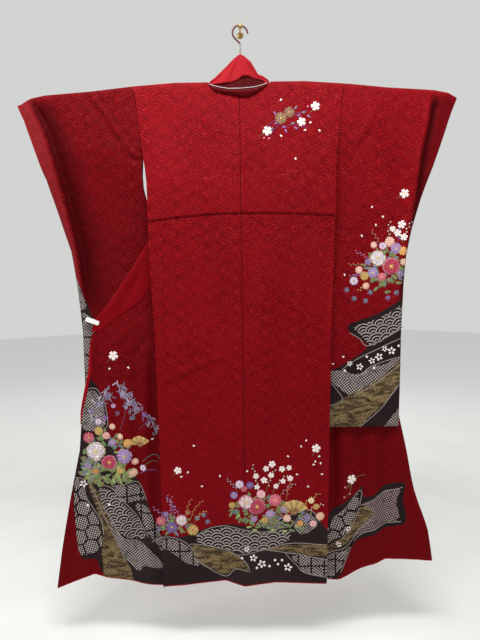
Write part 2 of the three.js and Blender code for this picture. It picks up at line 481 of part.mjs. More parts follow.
// inner collar drawn up round the hanger's stem: open below, longer behind the rod
{
  const LEVELS = [
    { z: -101, a: 9, b: 6.5 }, { z: -112, a: 18, b: 9 }, { z: -130, a: 37, b: 12 }, { z: -150, a: 61, b: 14 },
    { z: -163, a: 77, b: 15 }, { z: -172.4, a: 85, b: 15 },
  ];
  const n = 24;
  const ringPoint = (k, j, out) => {
    const lv = LEVELS[j];
    const t = (2 * Math.PI * k) / n;
    const pleat = 1 + 0.04 * Math.cos(6 * t + 0.4);
    const skirt = j === LEVELS.length - 1 ? 26 * smooth((Math.sin(t) - 0.5) / 0.4) : 0;
    return [4 - 4 * (lv.z + 101) / -72 + (lv.a - (out ? 0 : CLOTH)) * Math.cos(t) * pleat, ROD_Y + (lv.b - (out ? 0 : CLOTH)) * Math.sin(t) * pleat, lv.z - skirt];
  };
  const m = LEVELS.length;
  const { pos, idx } = grid(n, 2 * m + 1, (k, j) => (j < m ? ringPoint(k, j, true)
    : j < 2 * m ? ringPoint(k, 2 * m - 1 - j, false) : ringPoint(k, 0, true)), true);
  const g = body(pos, idx);
  add('collar_peak', mergeVertices(g, 1e-4), LINING);
}

// ---------------------------------------------------------------- rolled hem (fuki)
const below = FUKI_R + SEAM;
add('hem_roll_back', roll(span(3 - look(SIDE, 'z', HEM_Z, 'left'), look(SIDE, 'z', HEM_Z, 'right') - 3, 24).map((x) => {
  const p = backAt(x, HEM_Z);
  return [p[0], p[1] + CLOTH / 2, p[2] - below];
}), FUKI_R, 6), LINING);
// lining rolled past the free edge of the left front
add('edge_roll_left', roll([-962, -1010, -1075, -1126, -1207, -1251].map((z) => {
  const t = frontOutline(FRONT_LEFT, z).total;
  const p = frontAt(FRONT_LEFT, -1, HEM_LEFT, t, z);
  return [p[0] - below - 0.4, p[1] + 0.6, p[2]];
}), FUKI_R, 6), LINING);

// ---------------------------------------------------------------- display clip
// two rounded jaws, one each side of the collar run's edge, joined beyond that edge
{
  const JAW = { w: 45, h: 14, t: 2.6, r: 4, front: -3.4, back: 3.4 };
  const clip = new THREE.Group();
  clip.position.set(-488, -50.4, -906);
  clip.rotation.y = THREE.MathUtils.degToRad(20);
  const plate = (y) => {
    const s = new THREE.Shape();
    const { r } = JAW, hx = JAW.w / 2, hz = JAW.h / 2;
    s.moveTo(-hx + r, -hz); s.lineTo(hx - r, -hz); s.absarc(hx - r, -hz + r, r, -Math.PI / 2, 0);
    s.lineTo(hx, hz - r); s.absarc(hx - r, hz - r, r, 0, Math.PI / 2);
    s.lineTo(-hx + r, hz); s.absarc(-hx + r, hz - r, r, Math.PI / 2, Math.PI);
    s.lineTo(-hx, -hz + r); s.absarc(-hx + r, -hz + r, r, Math.PI, 1.5 * Math.PI);
    const g = new THREE.ExtrudeGeometry(s, { depth: JAW.t, bevelEnabled: false, curveSegments: 4 });
    g.rotateX(Math.PI / 2);
    return solid(moved(g, 0, y + JAW.t, 0));
  };
  const bridge = moved(new THREE.BoxGeometry(3, JAW.back - JAW.front, JAW.h - 7), -JAW.w / 2 + 2.2, JAW.t / 2, 0);
  add('display_clip', shape(plate(JAW.front).add(plate(JAW.back)).add(solid(bridge))), WHITE, clip);
  furisode.add(clip);
}

// ---------------------------------------------------------------- hanger
const armZ = (x) => look(SHOULDER, 'x', Math.abs(x), 'z') - 3.5 - ROD_R;
const tube = (points, r, sides = 12) => {
  return roll(points, r, sides);
};
for (const side of [-1, 1]) {
  const name = side < 0 ? 'left' : 'right';
  const pts = [14, 190, 330, 455, 602].map((X) => [side * X, ROD_Y, armZ(X)]);
  add('hanger_arm_' + name, tube(pts, ROD_R), ROD);
}
{
  const hub = new THREE.CylinderGeometry(6.6, 6.6, 27.2, 16);
  hub.rotateZ(Math.PI / 2);
  moved(hub, 0, ROD_Y, armZ(0));
  add('hanger_hub', hub, ROD);
  const foot = armZ(0) + 6.6 + SEAM, tip = -62.3;
  add('hanger_stem', moved(new THREE.CylinderGeometry(2.6, 2.6, tip - foot, 12).rotateX(Math.PI / 2), 4, ROD_Y, (foot + tip) / 2), STEEL);
  // hook: up from the stem, to the left, over the top and down to its tip
  const HOOK = [
    { x: 4, z: -60.8 }, { x: 2, z: -57 }, { x: -3, z: -52 }, { x: -8, z: -47 }, { x: -14, z: -41 }, { x: -18, z: -33 }, { x: -18.5, z: -24 },
    { x: -15, z: -15 }, { x: -7, z: -8.5 }, { x: 3, z: -6.5 }, { x: 13, z: -9 }, { x: 21, z: -15 }, { x: 26, z: -23 }, { x: 27.5, z: -30 },
  ];
  const curve = new THREE.CatmullRomCurve3(HOOK.map((h) => new THREE.Vector3(h.x, ROD_Y, h.z)));
  add('hanger_hook', roll(curve.getPoints(26).map((p) => [p.x, p.y, p.z]), 2.8, 8), COPPER);
}

// ---------------------------------------------------------------- wall hook
{
  // round plate on the wall, a neck out of it, a cradle for the hanger's hook and a knob
  const plate = new THREE.CylinderGeometry(17, 17, 4, 28);
  moved(plate, 0, -2, 0);
  let hook = solid(plate);
  hook = hook.add(solid(moved(new THREE.CylinderGeometry(17, 12, 3, 28), 0, -5.4, 0)));
  const neck = roll([[5, -3, -2], [5, -28, -5], [5, -44, -11], [5, -54, -13.8], [5, -64, -13.8], [5, -72, -9], [5, -76, -2], [5, -76.5, 4]], 4, 10);
  hook = hook.add(solid(neck));
  const knob = new THREE.SphereGeometry(8, 16, 10);
  moved(knob, 5, -76.5, 8);
  hook = hook.add(solid(knob));
  add('wall_hook', shape(hook), BRASS);
}

export default furisode;
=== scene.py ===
import math
import random

import bpy
import numpy as np
from mathutils import Matrix, Vector
from mathutils.geometry import delaunay_2d_cdt


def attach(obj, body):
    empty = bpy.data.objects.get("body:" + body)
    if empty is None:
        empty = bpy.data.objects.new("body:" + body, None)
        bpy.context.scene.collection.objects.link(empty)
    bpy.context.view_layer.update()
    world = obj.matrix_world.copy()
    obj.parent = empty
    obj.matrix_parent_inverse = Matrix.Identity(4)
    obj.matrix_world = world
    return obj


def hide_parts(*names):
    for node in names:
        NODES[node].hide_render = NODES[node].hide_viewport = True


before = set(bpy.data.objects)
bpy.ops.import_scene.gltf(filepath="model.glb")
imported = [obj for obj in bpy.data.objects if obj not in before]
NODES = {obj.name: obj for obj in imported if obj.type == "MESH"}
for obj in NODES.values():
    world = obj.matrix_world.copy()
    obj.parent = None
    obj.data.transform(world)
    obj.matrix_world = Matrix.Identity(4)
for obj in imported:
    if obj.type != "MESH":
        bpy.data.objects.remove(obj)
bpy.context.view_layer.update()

SCENE = bpy.context.scene
MM = 0.001

# =====================================================================================
# the garment's own sizes, in millimetres, as in the part
# =====================================================================================
SHOULDER_Z, HEM_Z, ROD_Y, NECK_X = -171.0, -1812.0, -60.0, 92.0
CUFF_Z, SLEEVE_HEM_Z, COLLAR_END_Z = -445.0, -1272.0, -941.0
CLOTH = 0.9            # lined silk, as seen
SHOULDER = [(0, -171), (200, -171), (330, -180), (455, -193), (600, -203), (645, -212), (680, -232)]
NECKLINE = [(0, -211), (32, -210), (52, -204), (75, -195), (92, -177), (99, -172), (110, -171)]
SIDE_L = [(-1820, 280), (-1379, 276), (-963, 281), (-702, 291), (-526, 291), (-470, 292), (-425, 296), (-385, 302), (-220, 319), (-171, 331)]
SIDE_R = [(-1820, 273), (-1379, 278), (-963, 283), (-702, 290), (-526, 296), (-470, 296), (-425, 297), (-385, 298), (-220, 314), (-171, 323)]
BACK_Y = [(-1820, -83), (-1500, -85), (-1100, -86), (-760, -85), (-574, -84), (-569, -88), (-420, -82), (-260, -72),
          (-188, -68.8), (-177, -67.6), (-172.6, -64.6), (-171, -60.4)]
HEM_BACK = [(-281, -1805), (-189, -1797), (-68, -1784), (-4, -1808), (44, -1801), (96, -1794), (174, -1796), (275, -1803)]
HEM_LEFT = [(200, -1812), (283, -1817), (348, -1810), (409, -1798), (474, -1784), (517, -1771), (580, -1797), (650, -1825)]
HEM_RIGHT = [(200, -1798), (262, -1798), (286, -1806), (320, -1806), (356, -1789), (395, -1770), (439, -1752), (474, -1734), (531, -1736), (636, -1744)]
# columns: z, s, f, e, seamY, inY, outY, okumi, collar
FRONT_L = [
    (-171, 331, 97, 97, -59.6, -59.6, -59.6, 3, 3), (-172.6, 331, 96, 96, -55.4, -55.4, -55.4, 6, 6),
    (-177, 330, 94, 94, -52.4, -52.4, -52.4, 14, 14), (-215, 320, 80, 92, -51, -51.5, -46, 30, 30),
    (-300, 310, 84, 118, -52, -54, -44, 48, 48), (-400, 300, 95, 160, -56, -60, -43, 70, 70),
    (-450, 290, 102, 188, -63, -63, -44, 78, 78), (-510, 288, 110, 222, -72, -66, -46, 88, 88),
    (-560, 291, 117, 250, -83, -68, -48, 94, 94), (-647, 292, 130, 298, -80, -68, -50, 116, 102),
    (-742, 289, 146, 358, -80.6, -68, -50, 132, 108), (-848, 285, 166, 434, -80.8, -68, -50, 140, 100),
    (-897, 283, 178, 478, -80.9, -68, -50, 143, 70), (-941, 282, 186, 494, -81, -68, -50, 145, 30),
    (-1075, 279, 200, 503, -81.4, -68, -50, 148, 0), (-1207, 278, 215, 537, -81.2, -68, -50, 150, 0),
    (-1337, 277, 226, 550, -80.9, -68, -51, 150, 0), (-1507, 277, 240, 589, -80.4, -68, -53, 150, 0),
    (-1682, 279, 254, 625, -79.4, -68, -56, 150, 0), (-1820, 280, 260, 650, -78.5, -68, -57, 150, 0)]
FRONT_R = [
    (-171, 323, 97, 97, -59.6, -59.6, -59.6, 3, 3), (-172.6, 323, 96, 96, -55.4, -55.4, -55.4, 6, 6),
    (-177, 322, 94, 94, -52.4, -52.4, -52.4, 14, 14), (-215, 314, 80, 92, -51, -51.5, -46, 30, 30),
    (-300, 306, 84, 118, -52, -54, -40, 48, 48), (-400, 298, 95, 160, -56, -60, -36, 70, 70),
    (-450, 297, 102, 188, -61, -64, -33, 78, 78), (-510, 296, 110, 222, -66, -68, -30, 88, 88),
    (-560, 295, 117, 250, -83, -70, -28, 94, 94), (-647, 292, 130, 294, -80, -70, -26, 116, 102),
    (-742, 289, 146, 346, -80.6, -70, -25, 132, 108), (-848, 287, 160, 404, -80.8, -70, -25, 140, 100),
    (-897, 286, 166, 428, -80.9, -70, -25, 143, 70), (-941, 284, 172, 446, -81, -70, -25, 145, 30),
    (-1075, 283, 186, 488, -81.4, -70, -25, 148, 0), (-1207, 280, 198, 516, -81.2, -70, -26, 150, 0),
    (-1337, 279, 212, 545, -80.9, -70, -32, 150, 0), (-1507, 277, 232, 578, -80.4, -69, -42, 150, 0),
    (-1682, 275, 250, 622, -79.4, -68, -50, 150, 0), (-1820, 273, 256, 640, -78.5, -68, -54, 150, 0)]
COLS = ("z", "s", "f", "e", "seamY", "inY", "outY", "okumi", "collar")
# columns: z, outer, inner, y
SLEEVE_L = [(-171, 686, 332.5, -60), (-226, 667, 319.8, -60), (-349, 636, 306, -60), (-398, 625, 306, -56), (-445, 613, 310, -50),
            (-484, 605, 309, -45), (-526, 595, 300, -39), (-597, 576, 270, -34), (-685, 552, 246, -28), (-807, 538, 214, -27),
            (-941, 528, 192, -27), (-1100, 529, 182, -27), (-1272, 532, 180, -27)]
SLEEVE_R = [(-171, 671, 324.5, -60), (-231, 652, 314, -60), (-349, 621, 301, -58), (-443, 597, 299.5, -54), (-526, 572, 298.5, -50),
            (-628, 544, 284, -48), (-716, 528, 268, -48), (-796, 523, 250, -48), (-965, 518, 224, -48), (-1100, 518, 212, -48),
            (-1272, 516, 208, -48)]

# soft creases laid as listed: x0, z0, x1, z1, half width, height (above 0 is a ridge towards the viewer)
CREASE_BACK = [
    (-262, -1100, -45, -1010, 9, 2.2), (-255, -1125, -60, -1040, 14, -1.6), (-230, -700, -120, -600, 12, -1.2),
    (-10, -600, -14, -1700, 13, 1.6), (60, -640, 72, -1250, 22, 2.2), (110, -760, 118, -1500, 18, -1.8),
    (170, -620, 182, -1100, 16, 1.8), (225, -900, 232, -1720, 20, 2.4), (-120, -820, -128, -1560, 20, 2.0),
    (-205, -900, -215, -1700, 22, 2.4), (-70, -1300, -64, -1780, 18, -2.2), (-160, -1350, -176, -1790, 16, -2.0),
    (-285, -640, -262, -1000, 14, -2.2), (284, -600, 262, -980, 14, -2.0), (40, -1420, 46, -1790, 16, -1.8),
    (-140, -230, -60, -330, 18, 1.4), (150, -230, 70, -330, 18, 1.4), (-250, -260, -150, -420, 16, -1.2),
    (0, -230, 0, -560, 26, 1.2), (-300, -330, -180, -500, 14, 1.4), (300, -330, 190, -520, 14, 1.4),
    (-90, -580, -60, -660, 12, -1.4), (70, -580, 40, -680, 12, -1.2), (150, -1500, 158, -1790, 18, 2.0),
]
CREASE_SLEEVE_L = [
    (-460, -196, -330, -392, 6, 3.4), (-474, -206, -344, -408, 12, -3.4), (-345, -372, -304, -396, 5, 3.4), (-350, -392, -312, -408, 6, -3.0), (-338, -352, -306, -372, 5, 2.6),
    (-590, -215, -500, -420, 18, 2.0), (-520, -215, -440, -640, 26, 2.5), (-400, -230, -350, -620, 20, -2.0), (-470, -420, -400, -760, 18, -2.4),
    (-380, -420, -330, -700, 20, 2.4), (-300, -900, -310, -1240, 22, 2.5), (-400, -900, -410, -1240, 24, -2.5),
]
CREASE_SLEEVE_R = [
    (368, -360, 420, -250, 12, 2.4), (352, -392, 408, -330, 9, -2.2), (420, -230, 470, -620, 24, 3.0), (500, -240, 500, -600, 22, -2.5),
    (360, -420, 400, -900, 24, 2.4), (430, -700, 440, -1180, 22, 2.2), (340, -700, 350, -1200, 18, -2.4), (480, -820, 482, -1200, 18, -2.0),
    (330, -560, 330, -980, 12, -2.2), (300, -1000, 310, -1240, 18, 1.8),
]
CREASE_FRONT_L = [
    (-300, -1010, -300, -1760, 10, -5.0), (-326, -1000, -334, -1740, 12, 5.0), (-356, -1080, -370, -1700, 13, -4.0), (-392, -1180, -418, -1760, 16, 4.0),
    (-440, -1300, -470, -1760, 16, -3.0), (-500, -1380, -540, -1790, 18, 3.0), (-470, -960, -490, -1220, 12, -2.0),
    (-330, -900, -420, -980, 10, 2.0), (-310, -960, -380, -1060, 12, -2.0), (-580, -1560, -600, -1800, 16, -2.0),
    (-320, -700, -440, -880, 10, 2.0), (-330, -760, -410, -900, 10, -2.0),
]
CREASE_FRONT_R = [
    (300, -1270, 302, -1790, 13, -6.0), (338, -1270, 340, -1780, 17, 5.5), (384, -1270, 392, -1750, 18, -6.0), (428, -1280, 440, -1740, 16, 5.5),
    (470, -1270, 486, -1740, 15, -5.0), (510, -1280, 536, -1720, 15, 3.5), (560, -1400, 590, -1730, 16, -3.0), (596, -1560, 618, -1740, 12, 2.5),
]


def tab(rows, x):
    r = sorted((a[0], a[1]) for a in rows)
    return np.interp(x, [a for a, _ in r], [b for _, b in r])


def col(rows, z, name, cols=COLS):
    k = cols.index(name)
    return tab([(r[0], r[k]) for r in rows], z)


def smooth(t):
    t = np.clip(t, 0, 1)
    return t * t * (3 - 2 * t)


def shoulder_drop(x, zr):
    return (tab(SHOULDER, np.abs(x)) - SHOULDER_Z) * smooth((zr + 560) / 300)


def to_hem(table, x, zr):
    return (tab(table, x) - HEM_Z) * smooth((-1450 - zr) / 362)


def nominal(off, x, z):
    zr = np.array(z, float)
    for _ in range(7):
        zr = z - off(x, zr)
    return zr


def creases(rows, x, z):
    total = np.zeros(np.broadcast(x, z).shape)
    for x0, z0, x1, z1, w, h in rows:
        dx, dz = x1 - x0, z1 - z0
        t = ((x - x0) * dx + (z - z0) * dz) / (dx * dx + dz * dz)
        run = smooth((t + 0.12) / 0.3) * smooth((1.12 - t) / 0.3)
        tc = np.clip(t, 0, 1)
        d = np.hypot(x - x0 - tc * dx, z - z0 - tc * dz)
        total += h * run * np.exp(-(d / w) ** 2)
    return total


def neck_shift(x, zr):
    return np.where(np.abs(x) < 110, (tab(NECKLINE, np.abs(x)) - SHOULDER_Z) * smooth((zr + 300) / 129), 0.0)


BACK_FOLDS = [(-205, 60, 3.0, -600), (-70, 70, 2.2, -700), (60, 70, 2.4, -640), (190, 65, 3.2, -620)]


def back_off(x, zr):
    return neck_shift(x, zr) + np.where(np.abs(x) < 110, 0, shoulder_drop(x, zr)) + to_hem(HEM_BACK, x, zr)


def bow(x):
    return np.where(x < 0, 22.0, 10.0) * (x / 290.0) ** 2


def back_y(x, z):
    zr = nominal(back_off, x, z)
    zt = zr + bow(x) * np.exp(-((zr + 580) / 90.0) ** 2)
    y = tab(BACK_Y, zt + neck_shift(x, zr))
    for cx, w, h, top in BACK_FOLDS:
        y = y - h * smooth((top - zr) / 140) * np.exp(-((x - cx) / w) ** 2)
    calm = smooth((-190 - z) / 60)
    seam = 0.9 * np.exp(-((x - 0.0) / 1.4) ** 2) * smooth((-205 - z) / 30)
    tuck = 1.6 * np.exp(-((zt + 572) / 3.0) ** 2)
    return y - creases(CREASE_BACK, x, z) * calm + seam + tuck


def flap_off(hem):
    return lambda X, zr: to_hem(hem, X, zr) + shoulder_drop(X, zr) * smooth((X - 92) / 40)


FRONT_FOLDS = [(330, 40, 4, -1000), (250, 36, -3.5, -1000), (170, 44, 4, -1100)]


def flap_y(side, x, z):
    rows, hem, cr = (FRONT_L, HEM_LEFT, CREASE_FRONT_L) if side < 0 else (FRONT_R, HEM_RIGHT, CREASE_FRONT_R)
    X = side * x
    zr = nominal(flap_off(hem), X, z)
    oy, iy, f, e = (col(rows, zr, c) for c in ("outY", "inY", "f", "e"))
    r = np.minimum(np.abs(oy - iy) / 2, np.maximum((e - f) / 2, 0.01))
    outer = smooth((X - f - r) / 60)
    y = oy.copy() if hasattr(oy, "copy") else oy
    for d, w, h, top in FRONT_FOLDS:
        y = y - outer * h * smooth((top - zr) / 140) * np.exp(-((e - X - d) / w) ** 2)
    ok = col(rows, zr, "okumi")
    groove = 0.8 * np.exp(-((e - X - ok) / 1.5) ** 2) * smooth((-640 - z) / 40)
    return y - 1.5 * creases(cr, x, z) * outer + groove


def sleeve_y(side, face, x, z):
    rows, cr = (SLEEVE_L, CREASE_SLEEVE_L) if side < 0 else (SLEEVE_R, CREASE_SLEEVE_R)
    cols = ("z", "outer", "inner", "y")
    X = side * x
    zr = nominal(lambda a, b: shoulder_drop(a, b), X, z)
    d = np.maximum(col(rows, zr, "outer", cols) - X, 0)
    half = np.interp(zr, [-1272, -1270, -1262, -1200, -260, -186, -177, -172.6, -171.2, -171], [0.8, 3.0, 6, 9.6, 9.6, 8.8, 7.6, 4.6, 1.6, 0.5])
    shut = smooth((CUFF_Z + 14 - z) / 28)
    rim = np.sqrt(np.clip(1 - ((14 - np.minimum(d, 14)) / 14) ** 2, 0.0, 1))
    edge = (1 - shut) * (0.55 + 0.45 * smooth(d / 40)) + shut * (0.08 + 0.92 * rim)
    y = col(rows, zr, "y", cols) + face * np.maximum(half * edge, 0.5)
    fold = np.interp(z, [-900, -669, -525, -397, -318, -236], [508, 532, 558, 583, 603, 642] if side < 0 else [505, 540, 560, 573, 589, 600])
    q = fold - X                      # inwards of the fold's crest
    run = smooth((-208 - z) / 60) * smooth((z + 960) / 220)
    if side < 0:
        rise = np.exp(-(np.minimum(q, 0) / 26.0) ** 2) * (q < 0) + (q >= 0) * np.exp(-(q / 9.0) ** 2)
        fall = smooth(q / 12) * np.exp(-np.maximum(q - 12, 0) / 46.0)
        y = y + run * (-9.5 * rise * smooth(d / 16) + 11.0 * fall)
    else:
        valley = np.exp(-((q + 2) / 9.0) ** 2) + 0.55 * smooth((-q - 2) / 9) * np.exp(-np.maximum(-q - 11, 0) / 26.0)
        crest = np.exp(-((q - 16) / 9.0) ** 2)
        y = y + run * (9.0 * valley * smooth(d / 14) - 4.5 * crest)
    sharp = creases(cr, x, z) * smooth(d / 16) * smooth((-192 - z) / 40)
    return y - sharp * (1.0 if face < 0 else 0.75)


# =====================================================================================
# camera: the viewing angle, and the way from a place in the 480 x 640 frame to the cloth
# =====================================================================================
FOCAL, TILT, ROLL = 480.0, math.radians(5.9), math.radians(0.8)
EYE = (-8.0, -1605.0, -748.0)


def spot(px, py, y=-84.0):
    a, b = (px - 240) / FOCAL, (320 - py) / FOCAL
    X = a * math.cos(ROLL) + b * math.sin(ROLL)
    Y = -a * math.sin(ROLL) + b * math.cos(ROLL)
    dy, dz = Y * math.sin(TILT) + math.cos(TILT), Y * math.cos(TILT) - math.sin(TILT)
    t = (y - EYE[1]) / dy
    return EYE[0] + t * X, EYE[2] + t * dz


def make_camera():
    data = bpy.data.cameras.new("camera")
    cam = bpy.data.objects.new("camera", data)
    SCENE.collection.objects.link(cam)
    data.sensor_width = 36.0
    data.lens = 36.0 * FOCAL / 640.0
    data.clip_start, data.clip_end = 0.05, 50
    d = Vector((0, math.cos(TILT), -math.sin(TILT)))
    up = Vector((0, math.sin(TILT), math.cos(TILT)))
    right = Vector((1, 0, 0))
    # the camera leans so that the picture's right side stands higher
    r2 = right * math.cos(ROLL) - up * math.sin(ROLL)
    u2 = right * math.sin(ROLL) + up * math.cos(ROLL)
    m = Matrix((r2, u2, -d)).transposed().to_4x4()
    m.translation = Vector(EYE) * MM
    cam.matrix_world = m
    SCENE.camera = cam


make_camera()


# =====================================================================================
# materials: a small way of writing shader arithmetic
# =====================================================================================
class V:
    def __init__(self, g, s):
        self.g, self.s = g, s

    def _m(self, op, b=None, c=None):
        return self.g.math(op, self, b, c)

    def __add__(self, o): return self._m("ADD", o)
    __radd__ = __add__
    def __sub__(self, o): return self._m("SUBTRACT", o)
    def __rsub__(self, o): return self.g.math("SUBTRACT", o, self)
    def __mul__(self, o): return self._m("MULTIPLY", o)
    __rmul__ = __mul__
    def __truediv__(self, o): return self._m("DIVIDE", o)
    def floor(self): return self._m("FLOOR")
    def frac(self): return self._m("FRACT")
    def abs(self): return self._m("ABSOLUTE")
    def sqrt(self): return self._m("SQRT")
    def mod(self, o): return self._m("FLOORED_MODULO", o)
    def lt(self, o): return self._m("LESS_THAN", o)
    def gt(self, o): return self._m("GREATER_THAN", o)
    def min(self, o): return self._m("MINIMUM", o)
    def max(self, o): return self._m("MAXIMUM", o)
    def ramp(self, a, b, to0=0.0, to1=1.0, kind="SMOOTHSTEP"):
        n = self.g.nt.nodes.new("ShaderNodeMapRange")
        n.interpolation_type = kind
        self.g.plug(self, n.inputs[0])
        for i, v in zip((1, 2, 3, 4), (a, b, to0, to1)):
            n.inputs[i].default_value = v
        return V(self.g, n.outputs[0])


class Graph:
    def __init__(self, name):
        self.mat = bpy.data.materials.new(name)
        self.mat.use_nodes = True
        self.nt = self.mat.node_tree
        self.nt.nodes.clear()
        self.out = self.nt.nodes.new("ShaderNodeOutputMaterial")
        self.bsdf = self.nt.nodes.new("ShaderNodeBsdfPrincipled")
        self.nt.links.new(self.bsdf.outputs[0], self.out.inputs[0])
        self._c = None

    def plug(self, v, sock):
        if isinstance(v, V):
            self.nt.links.new(v.s, sock)
        else:
            sock.default_value = v

    def math(self, op, a, b=None, c=None):
        n = self.nt.nodes.new("ShaderNodeMath")
        n.operation = op
        self.plug(a, n.inputs[0])
        if b is not None:
            self.plug(b, n.inputs[1])
        if c is not None:
            self.plug(c, n.inputs[2])
        return V(self, n.outputs[0])

    def place(self):
        """x, y, z of the object in millimetres"""
        if self._c is None:
            t = self.nt.nodes.new("ShaderNodeTexCoord")
            s = self.nt.nodes.new("ShaderNodeSeparateXYZ")
            self.nt.links.new(t.outputs["Object"], s.inputs[0])
            self._c = [V(self, s.outputs[i]) * 1000.0 for i in range(3)]
            self.object = t.outputs["Object"]
        return self._c

    def noise(self, scale, detail=2.0, rough=0.5, at=None):
        self.place()
        n = self.nt.nodes.new("ShaderNodeTexNoise")
        n.inputs["Scale"].default_value = scale
        n.inputs["Detail"].default_value = detail
        n.inputs["Roughness"].default_value = rough
        self.nt.links.new(at or self.object, n.inputs["Vector"])
        return V(self, n.outputs["Fac"])

    def at(self, x, y, z):
        n = self.nt.nodes.new("ShaderNodeCombineXYZ")
        for i, v in enumerate((x, y, z)):
            self.plug(v, n.inputs[i])
        return n.outputs[0]

    def mix(self, f, a, b):
        n = self.nt.nodes.new("ShaderNodeMix")
        n.data_type = "RGBA"
        self.plug(f, n.inputs[0])
        for v, i in ((a, 6), (b, 7)):
            if hasattr(v, "is_output"):
                self.nt.links.new(v, n.inputs[i])
            else:
                n.inputs[i].default_value = (*v, 1)
        return n.outputs[2]

    def color(self, v):
        if hasattr(v, "is_output"):
            self.nt.links.new(v, self.bsdf.inputs["Base Color"])
        else:
            self.bsdf.inputs["Base Color"].default_value = (*v, 1)

    def bump(self, height, strength=0.4, distance=0.001):
        n = self.nt.nodes.new("ShaderNodeBump")
        n.inputs["Strength"].default_value = strength
        n.inputs["Distance"].default_value = distance
        self.plug(height, n.inputs["Height"])
        self.nt.links.new(n.outputs[0], self.bsdf.inputs["Normal"])

    def set(self, **k):
        for name, v in k.items():
            self.plug(v, self.bsdf.inputs[name.replace("_", " ")])
        return self


def hex_rgb(r, g, b):
    f = lambda c: (c / 255 / 12.92) if c / 255 <= 0.04045 else ((c / 255 + 0.055) / 1.055) ** 2.4
    return f(r), f(g), f(b)


# the first colour is a painted highlight, used for satin glints and for the lit band beside the left sleeve's fold; the
# last is the figure's line colour, and scaled down it also gives painted fold shade on the sleeves
RED_HIGHLIGHT, RED, RED_LO = (0.46, 0.034, 0.040), (0.192, 0.0020, 0.0050), (0.060, 0.0008, 0.0022)
DARK = (0.0125, 0.0062, 0.0070)
DOT = (0.44, 0.375, 0.35)


def along(x, pts):
    """the height of a bent line through pts over x"""
    total = None
    for (a, u), (b, v) in zip(pts, pts[1:]):
        step = x.ramp(a, b, 0.0, v - u, "LINEAR")
        total = step if total is None else total + step
    return total + pts[0][1]


FOLD_L = [(-900, 508), (-669, 532), (-525, 558), (-397, 583), (-318, 603), (-236, 642)]
FOLD_R = [(-900, 505), (-669, 540), (-525, 560), (-397, 573), (-318, 589), (-236, 600)]


def fret(g, x, z):
    """bundles of three lines at a shallow angle, in columns that lean left and right by turns, with short ticks between"""
    wob = (g.noise(7.0, 2) - 0.5) * 7.0
    z = z + wob
    total = None
    for side, x0, z0 in ((1.0, 0.0, 0.0), (-1.0, 45.0, 20.0)):
        X = (((x - x0) / 90.0 + 0.5).frac() - 0.5) * 90.0
        column = ((x - x0) / 90.0 + 0.5).floor()
        b = ((z - z0 - column * 8.0) * 0.891 - X * (0.454 * side)) / 40.1
        B = (b.frac() - 0.5) * 40.1
        t = ((B / 7.5 + 0.5).frac() - 0.5).abs()
        lines = t.ramp(0.30, 0.15) * B.abs().lt(11.3)
        lines = lines * (X - B * (0.5 * side)).abs().ramp(30.0, 28.0)
        gap = B.abs().gt(12.0) * X.abs().lt(15.0)
        c = (((z - z0) * 0.891 + X * (0.454 * side)) / 7.5).frac()
        ticks = (c - 0.5).abs().ramp(0.30, 0.14) * gap * 0.8
        both = lines.max(ticks)
        total = both if total is None else total.max(both)
    return total


